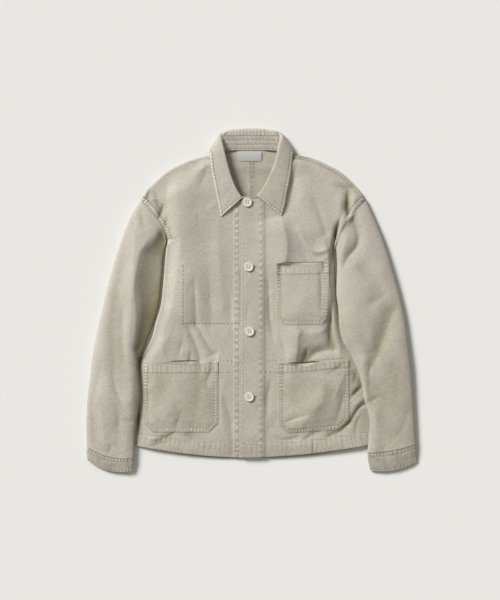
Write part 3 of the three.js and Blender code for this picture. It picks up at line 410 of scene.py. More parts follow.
def along(table, name, place):
    """A named column at places from its first row (0) to its last (1), on a smooth curve."""
    values = table[name]
    last = len(values) - 1
    reach = np.clip(place, 0, 1) * last
    i = np.minimum(last - 1, np.floor(reach).astype(int))
    k = reach - i
    a, b, c, d = (values[np.clip(i + n, 0, last)] for n in (-1, 0, 1, 2))
    return 0.5 * (2 * b + (c - a) * k + (2 * a - 5 * b + 4 * c - d) * k**2 + (3 * b - a - 3 * c + d) * k**3)


def lumps(x, y, size, seed):
    """Smooth random values from -1 to 1 whose lumps are about the given size."""
    values = np.random.default_rng(seed).uniform(-1, 1, (61, 61))
    turn = 0.7 + seed
    u = (x * math.cos(turn) - y * math.sin(turn)) / size + 1000
    v = (x * math.sin(turn) + y * math.cos(turn)) / size + 1000
    i, j = np.floor(u).astype(int), np.floor(v).astype(int)
    ku, kv = smooth(u - i), smooth(v - j)
    corner = lambda a, b: values[(i + a) % 61, (j + b) % 61]
    return mix(mix(corner(0, 0), corner(1, 0), ku), mix(corner(0, 1), corner(1, 1), ku), kv)


def near_path(path, x, y):
    """Distance from a path in plan, above zero on its left, and how far along it the nearest point is."""
    best = np.full(np.shape(x), np.inf)
    signed = np.zeros(np.shape(x))
    run = np.zeros(np.shape(x))
    done = 0.0
    for (x0, y0), (x1, y1) in zip(path[:-1], path[1:]):
        length = math.hypot(x1 - x0, y1 - y0)
        ux, uy = (x1 - x0) / length, (y1 - y0) / length
        k = np.clip((x - x0) * ux + (y - y0) * uy, 0, length)
        away = np.hypot(x - x0 - ux * k, y - y0 - uy * k)
        nearer = away < best
        best = np.where(nearer, away, best)
        left = ux * (y - y0) - uy * (x - x0) > 0
        signed = np.where(nearer, np.where(left, away, -away), signed)
        run = np.where(nearer, done + k, run)
        done += length
    return signed, run, done


def curved(path, steps=5):
    """A path through the same points on a smooth curve, whatever each point carries."""
    points = np.array(path, float)
    place = np.linspace(0, 1, steps * (len(points) - 1) + 1)
    table = dict(enumerate(points.T))
    return np.stack([along(table, column, place) for column in table], -1)


def run_of(line):
    """How far along a line of points each of them lies."""
    return np.concatenate([[0], np.cumsum(np.linalg.norm(np.diff(line[:, :2], axis=0), axis=1))])


FOLD_REACH = 3.4


def fold_height(folds, x, y):
    total = np.zeros(np.shape(x))
    for height, left, right, path in folds:
        line = curved(path)
        reach = FOLD_REACH * max(left, right)
        (x0, y0), (x1, y1) = line[:, :2].min(0) - reach, line[:, :2].max(0) + reach
        near = (x > x0) & (x < x1) & (y > y0) & (y < y1)
        if not near.any():
            continue
        signed, run, _ = near_path(line[:, :2], x[near], y[near])
        width = np.where(signed > 0, left, right)
        rounding = 0.08 * width + 0.6
        away = (np.hypot(signed, rounding) - rounding) / width
        strength = np.interp(run, run_of(line), line[:, 2])
        roundness = 1.1 + 0.6 * smooth((width - 10) / 20)
        total[near] += height * strength * np.exp(-(away**roundness)) * smooth((FOLD_REACH - away) / 1.4)
    return total


def slope_drop(slopes, x, y):
    """How far a surface has fallen away to the left of paths that carry a slope, and how steeply."""
    total, steepness = np.zeros(np.shape(x)), np.zeros(np.shape(x))
    for path in slopes:
        line = curved(path)
        signed, run, _ = near_path(line[:, :2], x, y)
        slope = np.interp(run, run_of(line), line[:, 2])
        total += np.minimum(SLOPE_DEPTH, slope * (np.hypot(signed, 5) + signed) / 2)
        steepness += slope * smooth((signed + 3) / 14)
    return total, steepness


def crumples(x, y, count, box, lean, seed, size=1.0):
    """Short soft creases that washing leaves, scattered over a box and mostly leaning one way (degrees)."""
    chance = np.random.default_rng(seed)
    folds = []
    x0, y0, x1, y1 = box
    for _ in range(count):
        at = chance.uniform((x0, y0), (x1, y1))
        angle = math.radians(lean + chance.normal(0, 24))
        reach = chance.uniform(12, 34) * size
        bend = chance.normal(0, 0.2) * reach
        way = np.array([math.cos(angle), math.sin(angle)])
        path = [(*(at - way * reach), 0), (*(at + np.array([-way[1], way[0]]) * bend), 1),
                (*(at + way * reach), 0)]
        height = chance.choice((-1, 1)) * chance.uniform(0.3, 0.9) * size
        folds.append((height, *(chance.uniform(5, 11, 2) * size), path))
    return fold_height(folds, x, y)


def seam_relief(x, y, path, sunk=0.35, pucker=0.35, pitch=7.5, reach=4.0, side=0.0, dark=0.9, seed=1):
    """Height and colour marks beside a stitched line: a sunk thread line and the ripples that washing draws
    in. The sunk line and the ripples' troughs are coloured darker as painted shade, the ripples' crests
    paler, partly abrasion and partly painted highlight.
    """
    signed, run, _ = near_path(path, x, y)
    drift = 2.6 * lumps(run, 0 * run, 2.3 * pitch, seed)
    strength = 0.75 + 0.5 * lumps(run, 0 * run + 40, 3.1 * pitch, seed + 1)
    ripple = np.tanh(1.6 * np.sin(2 * math.pi * run / pitch + drift)) * strength
    beside = np.exp(-(((signed - side * reach) / reach) ** 2))
    line = np.exp(-((signed / 1.0) ** 2))
    ripple = pucker * ripple * beside
    return 0.05 * pitch * ripple - sunk * line, np.where(ripple > 0, 1.5, 0.6) * ripple - 1.4 * dark * line


def bed_height(x, y):
    across = smooth((LEAF_BED_HALF_WIDTH - np.abs(x)) / LEAF_BED_SLOPE + 1)
    return LEAF_BED * across * smooth((y - LEAF_BED_Y) / LEAF_BED_SLOPE + 1)


def loft(y):
    i = np.clip(np.searchsorted(LOFT["y"], y, side="right") - 1, 0, len(LOFT["y"]) - 2)
    low, high = LOFT["y"][i], LOFT["y"][i + 1]
    return mix(LOFT["z"][i], LOFT["z"][i + 1], smooth((y - low) / (high - low)))


def armhole_top(place):
    sine = 2 * np.sqrt(np.clip(place * (1 - place), 0, None))
    return ARMHOLE_EDGE + (ARMHOLE_HEIGHT - ARMHOLE_EDGE) * sine**FULLNESS


def outline(panel, side, armhole, shoulder):
    """Rows of a front's outline from the hem up the side, round the armhole and along the shoulder."""
    parts = []
    for table, count, kind in (
        (panel.side, side, "side"),
        (panel.armhole, armhole, "armhole"),
        (panel.shoulder, shoulder, "shoulder"),
    ):
        place = np.linspace(0, 1, count + 1)
        if kind == "armhole":
            place = place[1:-1]
        ahead, behind = np.minimum(1, place + 1e-3), np.maximum(0, place - 1e-3)
        run = np.stack([along(table, c, ahead) - along(table, c, behind) for c in "xy"], -1)
        run /= np.linalg.norm(run, axis=1, keepdims=True)
        at = np.stack([along(table, c, place) for c in "xy"], -1)
        outward = np.stack([-run[:, 1], run[:, 0]], -1) * panel.turn
        if kind == "armhole":
            roll, rise = np.full(len(place), 0.5), np.full(len(place), 30.0)
            edge_z = armhole_top(1 - place)
        else:
            roll, rise = along(table, "roll", place), along(table, "rise", place)
            edge_z = bed_height(at[:, 0], at[:, 1]) + 2 * roll
        is_armhole = np.full(len(place), kind == "armhole")
        parts.append((at, outward, roll, rise, edge_z, is_armhole))
    at, outward, roll, rise, edge_z, is_armhole = (np.concatenate(column) for column in zip(*parts))
    run = np.concatenate([[0], np.cumsum(np.linalg.norm(np.diff(at, axis=0), axis=1))])
    near = np.exp(-(((run[:, None] - run) / 12) ** 2))
    near /= near.sum(1, keepdims=True)
    outward, roll, rise, edge_z = near @ outward, near @ roll, near @ rise, near @ edge_z
    turned_in = near @ (1.0 - is_armhole)
    outward /= np.linalg.norm(outward, axis=1, keepdims=True)
    return Part(at=at, outward=outward, roll=roll, rise=rise, edge_z=edge_z, is_armhole=is_armhole,
                turned_in=turned_in)


def to_outline(panel, x, y):
    """Distance from a front's outline, with the edge's height, roll and rise at the nearest point."""
    o = panel.outline
    best = np.full(np.shape(x), np.inf)
    z, roll, rise = (np.zeros(np.shape(x)) for _ in range(3))
    for i in range(len(o.at) - 1):
        (x0, y0), (x1, y1) = o.at[i], o.at[i + 1]
        span = (x1 - x0) ** 2 + (y1 - y0) ** 2
        k = np.clip(((x - x0) * (x1 - x0) + (y - y0) * (y1 - y0)) / span, 0, 1)
        away = np.hypot(x - mix(x0, x1, k), y - mix(y0, y1, k))
        nearer = away < best
        best = np.where(nearer, away, best)
        z = np.where(nearer, mix(o.edge_z[i], o.edge_z[i + 1], k), z)
        roll = np.where(nearer, mix(o.roll[i], o.roll[i + 1], k), roll)
        rise = np.where(nearer, mix(o.rise[i], o.rise[i + 1], k), rise)
    return best, z, roll, rise


def hem_y(panel, x):
    """Lower edge of a front at a place across it."""
    k = np.clip((x - panel.edge) / (panel.side["x"][0] - panel.edge), 0, 1)
    return mix(HEM_Y, panel.side["y"][0], k) - HEM_BOW * 4 * k * (1 - k)


def tone(x, y):
    """How much darker the cloth is towards the hem and the wearer's left."""
    return 0.24 * smooth((40 - y) / 260) + 0.1 * smooth((x + 120) / 300)


def front_detail(panel, x, y):
    """Hems, facings and seams of a front, over its own lie, and its colour marks: random mottling, darker
    towards the hem, painted shade along stitch lines, pucker troughs and buttonhole slits, and paler pucker
    crests, partly abrasion and partly painted highlight.
    """
    detail = 0.07 * lumps(x, y, 8, 7)
    wear_and_painted_shade = 0.13 * lumps(x, y, 34, 11) + 0.12 * lumps(x, y, 6, 12) - tone(x, y)
    above_hem = y - hem_y(panel, x)
    detail = detail + TURNED * (1 - smooth((above_hem - HEM_WIDTH + 1) / 2.2))
    detail = detail + TURNED * smooth(panel.turn * (x - panel.facing) / 2.2 + 0.5)
    for path, look in panel.seams:
        relief, rub_and_shade = seam_relief(x, y, path, **look)
        detail = detail + relief
        wear_and_painted_shade = wear_and_painted_shade + rub_and_shade
    for bx, by in BUTTONS if panel.laps else ():
        slit, _ = seam_relief(x, y, [(bx + 4, by), (bx + 17, by)], sunk=0.8, pucker=0)
        detail = detail + slit
        # Painted shade: each buttonhole slit is coloured dark along its sunk line.
        wear_and_painted_shade = wear_and_painted_shade + 2.4 * slit
    return detail, wear_and_painted_shade


def under_pockets(panel, x, y):
    """1 where a front lies under one of its pockets, which keep its folds flat, and 0 elsewhere."""
    covered = np.zeros(np.shape(x))
    for pocket in panel.pockets:
        across = np.minimum(x - pocket.x0, pocket.x1 - x)
        down = np.minimum((pocket_top(pocket, x) - y + 1) / 6, (y - pocket_edge(pocket, x)) / 8)
        covered = np.maximum(covered, smooth(np.minimum(across / 8, down)))
    return covered


def front_surface(panel, x, y):
    """Height of a front's upper face at points in plan, and its colour marks there: mottling, abrasion and
    painted shade.
    """
    distance, edge_z, roll, rise = to_outline(panel, x, y)
    lie = (fold_height(panel.folds, x, y) * (1 - under_pockets(panel, x, y))
           + 0.45 * lumps(x, y, 31, panel.seed + 2))
    for count, box, lean in panel.crumples:
        lie += crumples(x, y, count, box, lean, panel.seed + count)
    crease = fold_height(panel.creases, x, y) * smooth((distance - 1) / 5)
    full = loft(y) + lie + 1.2 * lumps(x, y, 78, panel.seed) + 0.6 * bed_height(x, y)
    full = np.maximum(full, 6.0)
    if panel.laps:
        lapped = LAP_RISE * smooth((UNDER_EDGE_X + LAP_FADE + 2 - x) / LAP_FADE)
    else:
        lapped = 0
    height = mix(edge_z, full, smooth((distance - roll) / rise))
    height = np.maximum(height + crease, np.minimum(height, 4.4)) + lapped
    detail, wear_and_painted_shade = front_detail(panel, x, y)
    # Painted shade: the cloth is coloured darker in fold troughs and creases, where shade falls, and a
    # little paler on crests as a painted highlight.
    wear_and_painted_shade = wear_and_painted_shade + np.clip(0.08 * lie, -0.9, 0.1) + np.clip(0.22 * crease, -2.4, 0)
    # Painted shade: the front's edge is coloured near black where a sleeve lies over or beside it, standing
    # for the shade in the gap between them.
    shade_y, shade = zip(*panel.shaded_edge)
    wear_and_painted_shade = wear_and_painted_shade - 3.0 * np.interp(y, shade_y, shade) * np.exp(-((distance / 5) ** 2)) * (np.abs(x) > 170)
    return height + smooth((distance - 0.5 * roll) / 8) * detail, wear_and_painted_shade


def moved_inwards(grid, thickness, side):
    """The grid moved along its own normals."""
    across = np.gradient(grid, axis=1)
    down = np.gradient(grid, axis=0)
    normal = np.cross(across, down)
    normal /= np.linalg.norm(normal, axis=2, keepdims=True)
    return grid + normal * (side * np.asarray(thickness))[..., None]


def shell(name, outer, inner, grain, wear_and_painted_shade=None, ring=False, sharp=50):
    """A closed cloth shell between two grids of points. grain is its lie in the cloth, in millimetres."""
    count, width = outer.shape[:2]
    inside = count * width
    spans = width if ring else width - 1
    j, i = np.meshgrid(np.arange(count - 1), np.arange(spans), indexing="ij")
    a, b = j * width + i, j * width + (i + 1) % width
    c, d = b + width, a + width
    quads = [np.stack([a, b, c, d], -1).reshape(-1, 4)]
    quads.append(np.stack([a, d, c, b], -1).reshape(-1, 4) + inside)
    i = np.arange(spans)
    low, low1 = i, (i + 1) % width
    high, high1 = low + (count - 1) * width, low1 + (count - 1) * width
    quads.append(np.stack([low1, low, low + inside, low1 + inside], -1))
    quads.append(np.stack([high, high1, high1 + inside, high + inside], -1))
    if not ring:
        j = np.arange(count - 1) * width
        quads.append(np.stack([j, j + width, j + width + inside, j + inside], -1))
        j = j + width - 1
        quads.append(np.stack([j + width, j, j + inside, j + width + inside], -1))
    quads = np.concatenate(quads)
    points = np.concatenate([outer.reshape(-1, 3), inner.reshape(-1, 3)]) * MM
    corners = points[quads]
    volume = np.einsum("ij,ij->i", corners[:, 0], np.cross(corners[:, 1], corners[:, 2])).sum()
    volume += np.einsum("ij,ij->i", corners[:, 0], np.cross(corners[:, 2], corners[:, 3])).sum()
    if volume < 0:
        quads = quads[:, ::-1]
    mesh = bpy.data.meshes.new(name)
    mesh.from_pydata(points.tolist(), [], quads.tolist())
    flat = grain.reshape(-1, 2)
    lie = np.concatenate([flat, flat])
    corner_of = np.empty(len(mesh.loops), int)
    mesh.loops.foreach_get("vertex_index", corner_of)
    mesh.uv_layers.new(name="grain").data.foreach_set("uv", lie[corner_of].ravel().astype(np.float32))
    worn_and_shaded = np.zeros(inside) if wear_and_painted_shade is None else wear_and_painted_shade.reshape(-1)
    # The cloth's colour marks, abrasion and painted shade together, go on the mesh as a point attribute.
    attribute = mesh.attributes.new("wear_and_painted_shade", "FLOAT", "POINT")
    attribute.data.foreach_set("value", np.concatenate([worn_and_shaded, worn_and_shaded]).astype(np.float32))
    mesh.polygons.foreach_set("use_smooth", np.ones(len(mesh.polygons), bool))
    mesh.set_sharp_from_angle(angle=math.radians(sharp))
    mesh.validate()
    return add_object(name, mesh)


def add_object(name, mesh):
    obj = bpy.data.objects.new(name, mesh)
    bpy.context.scene.collection.objects.link(obj)
    return obj


ROLL_STEPS = 7
ARMHOLE_MARGIN = 7


def front_rows(panel, o):
    """Inner ends of a front's rows: up the opening's edge, then along the neckline."""
    start = int(np.argmax(o.is_armhole)) + int(o.is_armhole.sum())
    j = np.arange(len(o.at))
    below = np.clip(j / start, 0, 1)
    place = np.clip((j - start) / (len(o.at) - 1 - start), 0, 1)
    neck = np.stack([along(panel.neck, "x", place), along(panel.neck, "y", place)], -1)
    edge = np.stack([np.full(len(j), float(panel.edge)), mix(HEM_Y, panel.neck["y"][0], below)], -1)
    return np.where((j <= start)[:, None], edge, neck), below


def column_shares(first, last, fine=58.0, fine_step=1.8, coarse=90):
    """Shares of a front's rows at which its columns lie: close together along the opening."""
    width = np.abs(last - first)[:, None]
    near = np.arange(0, fine, fine_step)[None, :] / width
    near = near * np.minimum(1, 0.45 / near[:, -1:])
    far = mix(near[:, -1:], 1.0, np.linspace(0, 1, coarse + 1)[None, 1:])
    return np.concatenate([near, far], 1)


def make_front(name, panel, side=190, armhole=84, shoulder=70):
    o = outline(panel, side, armhole, shoulder)
    first, below = front_rows(panel, o)
    margin = mix(ARMHOLE_MARGIN, np.maximum(o.roll, 2), o.turned_in)[:, None]
    last = o.at - o.outward * margin
    k = column_shares(first[:, 0], last[:, 0])
    x = mix(first[:, :1], last[:, :1], k)
    y = mix(first[:, 1:], last[:, 1:], k) - HEM_BOW * 4 * k * (1 - k) * (1 - below[:, None]) ** 4
    z, wear_and_painted_shade = front_surface(panel, x, y)
    z[:, 0] -= 0.5
    z[0, :] -= 0.5
    face = np.stack([x, y, z], -1)
    turn = np.linspace(0, 1, ROLL_STEPS + 1)[None, 1:, None]
    roll, bed = o.roll[:, None, None], bed_height(o.at[:, 0], o.at[:, 1])[:, None, None]
    rolled = last[:, None] + (o.outward * o.roll[:, None])[:, None] * np.sin(turn * math.pi)
    step = z[:, -1:, None] - bed - 2 * roll
    rolled_z = bed + roll * (1 + np.cos(turn * math.pi)) + step * (1 - turn)
    seam = o.at[:, None] - o.outward[:, None] * (margin[:, None] * (1 - turn) + SEAM_GAP / 2)
    detail, worn_lit_and_shaded = front_detail(panel, seam[..., 0], seam[..., 1])
    last_detail = front_detail(panel, last[:, :1], last[:, 1:])[0]
    base = mix(z[:, -1:, None] - last_detail[..., None], o.edge_z[:, None, None] - 0.6 * turn**3, turn)
    seam_z = base + detail[..., None] * (1 - 0.5 * turn**2)
    turned_in = o.turned_in[:, None, None]
    edge = np.concatenate([mix(seam, rolled, turned_in), mix(seam_z, rolled_z, turned_in)], -1)
    outer = np.concatenate([face, edge], 1)
    inner = moved_inwards(outer, CLOTH, panel.turn)
    folded = o.turned_in > 0.5
    inner[folded, -1] = outer[folded, -1] + (0, 0, CLOTH)
    # The edge strip keeps the front's abrasion and painted shade.
    wear_and_painted_shade = np.concatenate([wear_and_painted_shade, mix(worn_lit_and_shaded, wear_and_painted_shade[:, -1:], o.turned_in[:, None])], 1)
    return shell(name, outer, inner, outer[..., :2].copy(), wear_and_painted_shade)


BACK_STITCH_X = 3.6


def back_surface(panel, x, y):
    """Height of a back's upper face, with the centre seam's turnings standing up, and its colour marks:
    mottling, the seam's painted shade and highlights, and a painted shade over the whole back.
    """
    away = np.abs(x)
    allowance = 0.7 * (1 - smooth((away - 5.4) / 1.6)) * smooth((away + 0.6) / 1.4)
    relief, wear_and_painted_shade = seam_relief(x, y, back_stitch(panel), seed=21)
    # Painted shade: the whole back is coloured darker, standing for the shade inside the neck under the
    # collar.
    wear_and_painted_shade = wear_and_painted_shade + 0.12 * lumps(x, y, 9, 22) - 0.35
    swell = 1.1 * (1 + lumps(x, y, 60, 31)) * smooth((y - 120) / 60) * smooth((away - 6) / 25)
    clear = smooth((panel.outline.at[-1, 1] + 30 - y) / 40) * smooth((panel.inner_reach - away) / 20)
    return bed_height(x, y) + CLOTH + np.maximum(0, allowance + relief + 0.12) + swell * clear, wear_and_painted_shade


def back_stitch(panel):
    return [(-panel.turn * BACK_STITCH_X, -300), (-panel.turn * BACK_STITCH_X, 334)]


def make_back(name, panel, columns=58):
    o = outline(panel, 70, 24, 60)
    count = len(o.at)
    inset = np.where(o.is_armhole, SEAM_GAP, o.roll + SEAM_GAP)[:, None]
    edge = o.at - o.outward * inset
    up = (np.arange(count) / (count - 1))[:, None]
    centre_y = mix(HEM_Y - 1, BACK_NECK_Y, up)
    edge_y = np.minimum(edge[:, 1:], BACK_NECK_CORNER_Y)
    edge_y[-1] = edge[-1, 1]
    k = np.linspace(0, 1, columns + 1)[None, :]
    x = mix(-panel.turn * SEAM_GAP / 2, edge[:, :1], k)
    y = mix(centre_y, edge_y, k) - (HEM_BOW + 2) * 4 * k * (1 - k) * (1 - up) ** 4
    z, wear_and_painted_shade = back_surface(panel, x, y)
    outer = np.stack([x, y, z], -1)
    inner = np.stack([x, y, bed_height(x, y)], -1)
    return shell(name, outer, inner, outer[..., :2].copy(), wear_and_painted_shade)


def armhole_bow(armhole, s):
    """How far the armhole's curve lies from the line between its ends, from the shoulder point (0) on."""
    curve = np.stack([along(armhole, c, 1 - s) for c in "xy"], -1)
    top, foot = (np.array([armhole["x"][n], armhole["y"][n]]) for n in (-1, 0))
    return curve - mix(top, foot, s[..., None])


def tube_rings(table, thickness, sections, upper, lower, armhole=None, detail=None):
    """Outer and inner rings of points round a sleeve or cuff, their lie in the cloth and their colour
    marks, abrasion and painted shade together.
    """
    angle = np.concatenate([np.linspace(0, math.pi, upper, endpoint=False),
                            np.linspace(math.pi, 2 * math.pi, lower, endpoint=False)])[None, :]
    place = np.linspace(0, 1, sections + 1)[:, None]
    at = {name: along(table, name, place) for name in table}
    out = np.stack([at["out_x"], at["out_y"]], -1)
    across = np.stack([at["in_x"], at["in_y"]], -1) - out
    width = np.linalg.norm(across, axis=-1)
    down = np.stack([across[..., 1], -across[..., 0]], -1) / width[..., None]
    down = np.where(down[..., 1:] > 0, -down, down)
    if armhole:
        out = out + down * SEAM_GAP * (place == 0)[..., None]
        fold_share = smooth(place / 0.03) * smooth((1 - place) / 0.05)
    half, sine = (1 - np.cos(angle)) / 2, np.abs(np.sin(angle))
    result = []
    for wall in (0.0, thickness):
        s = (wall + (width - 2 * wall) * half) / width
        plan = out + across * s[..., None] + down * (at["sag"] * 4 * s * (1 - s))[..., None]
        if armhole:
            plan = plan + armhole_bow(armhole, s) * (1 - smooth(place / 0.12))[..., None]
        x, y = plan[..., 0], plan[..., 1]
        edge = mix(at["out_edge"], at["in_edge"], smooth(s))
        lift = np.maximum(0, at["lift"]) * smooth((s - 0.62) / 0.26)
        below = wall + (edge - wall) * (1 - np.minimum(1, 2.4 * sine))
        least = edge * 1.7 - wall
        fold, fine, wear_and_painted_shade = 0, 0, np.zeros(x.shape)
        if detail:
            fold, fine, wear_and_painted_shade = detail(x, y, s * width, place)
        if armhole:
            fold = fold * fold_share
        full = np.maximum(least, at["height"] + fold * sine - wall - 0.55 * lift)
        above = edge + (full - edge) * sine**FULLNESS + fine * smooth(sine * 2.5)
        z = lift + np.where(angle > math.pi + 1e-9, below, above)
        result.append(np.stack([x, y, z], -1))
        if not wall:
            girth = np.broadcast_to(s * width * np.where(angle > math.pi, -1, 1), x.shape)
            length = np.cumsum(np.concatenate([[0], np.linalg.norm(np.diff(out[:, 0], axis=0), axis=1)]))
            grain = np.stack([girth, np.broadcast_to(-length[:, None], x.shape)], -1)
            # Abrasion and painted shade on the upper face only.
            worn_lit_and_shaded = np.where(angle > math.pi, 0, wear_and_painted_shade)
    return result[0], result[1], grain, worn_lit_and_shaded


def make_sleeve(name, table, panel, folds, slopes, shaded, scattered, seed):
    def detail(x, y, across, place):
        fallen, steepness = slope_drop(slopes, x, y)
        fold = fold_height(folds, x, y)
        fold = fold + 1.5 * lumps(x, y, 70, seed) + 0.6 * lumps(x, y, 30, seed + 1)
        for count, box, lean in scattered:
            fold = fold + crumples(x, y, count, box, lean, seed + count)
        fine = 0.08 * lumps(x, y, 8, seed + 2)
        wear_and_painted_shade = 0.13 * lumps(x, y, 34, seed + 3) + 0.12 * lumps(x, y, 6, seed + 4) - tone(x, y)
        # Painted shade: darker in fold troughs and on slopes that fall away from the light, and a little
        # paler on crests as a painted highlight.
        wear_and_painted_shade = wear_and_painted_shade + np.clip(0.08 * fold, -0.6, 0.1) - np.minimum(1.25, 2.3 * steepness)
        away = to_outline(panel, x, y)[0]
        # Painted shade: darker where the sleeve lies against the body, for the shade in the gap between
        # them.
        wear_and_painted_shade = wear_and_painted_shade - shaded * np.exp(-((away / 10) ** 2)) * smooth((130 - y) / 40) * smooth((y + 330) / 60)
        return fold - fallen, fine, wear_and_painted_shade

    outer, inner, grain, wear_and_painted_shade = tube_rings(table, CLOTH, 210, 66, 24, panel.armhole, detail)
    return shell(name, outer, inner, grain, wear_and_painted_shade, ring=True)


CUFF_STITCHES = (2.2, 8.6)


def make_cuff(name, table, length, seed):
    """A cuff, and the paths of the two rows of stitching at its top."""

    def detail(x, y, across, place):
        down = place * length + 0 * x
        # Painted shade: the whole cuff is coloured darker, for its faces turned down away from the light;
        # its stitch rows add painted shade and highlights.
        fine, wear_and_painted_shade = 0.2 * lumps(x, y, 9, seed), 0.3 * lumps(x, y, 7, seed + 1) - 0.42
        for row, (at, pucker, side) in enumerate(((CUFF_STITCHES[0], 0.8, 0.95), (CUFF_STITCHES[1], 0.2, 0),
                                                  (length - 3.5, 0.8, 0.3))):
            relief, rub_and_shade = seam_relief(across, down, [(0, at), (130, at)], pucker=pucker, pitch=7.6,
                                      reach=3.2, side=side, sunk=0.5, dark=1.2 - 0.4 * row,
                                      seed=seed + 10 * row)
            fine, wear_and_painted_shade = fine + relief, wear_and_painted_shade + rub_and_shade
        return 0, fine, wear_and_painted_shade

    sections, upper = 26, 84
    outer, inner, grain, wear_and_painted_shade = tube_rings(table, CUFF_CLOTH, sections, upper, 20, None, detail)
    made = shell(name, outer, inner, grain, wear_and_painted_shade, ring=True)
    across = np.linspace(3, upper - 3, 160)
    paths = []
    for down in CUFF_STITCHES:
        at = grid_path(outer, np.full(160, sections * down / length), across, 0)
        paths.append([(x, y, z + 0.2) for x, y, z in at])
    return made, paths


def leaf_rows(count):
    """Points of the collar leaf's section at rows of the collar table, and the ways its section faces."""
    place = np.linspace(0, 1, count + 1)
    at = {name: along(COLLAR, name, place) for name in COLLAR}
    tip = np.stack([at["tip_x"], at["tip_y"], at["tip_z"]], -1)
    edge = np.stack([at["edge_x"], at["edge_y"], at["edge_z"]], -1)
    out = edge - tip
    out[:, 2] = 0
    out /= np.linalg.norm(out, axis=1, keepdims=True)
    inwards = np.stack([-out[:, 1], out[:, 0], 0 * out[:, 0]], -1)
    inwards = np.where((inwards[:, 0] * at["tip_x"] > 0)[:, None], -inwards, inwards)
    angle = np.radians(at["turn"])[:, None]
    across = inwards * np.sin(angle) - np.array([0, 0, 1.0]) * np.cos(angle)
    return Part(place=place, tip=tip, edge=edge, out=out, across=across,
                half=at["fold"][:, None] / 2, reach=at["reach"][:, None])


def grid_path(grid, rows_at, columns_at, proud):
    """A path over a grid of points at fractional rows and columns, a little proud of its face."""
    i, j = np.minimum(np.floor(rows_at).astype(int), grid.shape[0] - 2), np.floor(columns_at).astype(int)
    j = np.minimum(j, grid.shape[1] - 2)
    a, b = (rows_at - i)[:, None], (columns_at - j)[:, None]
    at = mix(mix(grid[i, j], grid[i + 1, j], a), mix(grid[i, j + 1], grid[i + 1, j + 1], a), b)
    normal = np.cross(grid[i, j + 1] - grid[i, j], grid[i + 1, j] - grid[i, j])
    normal /= np.linalg.norm(normal, axis=1, keepdims=True)
    return [tuple(p) for p in at + normal * proud]


LEAF_STITCH = 6.2
LEAF_FACES = 30


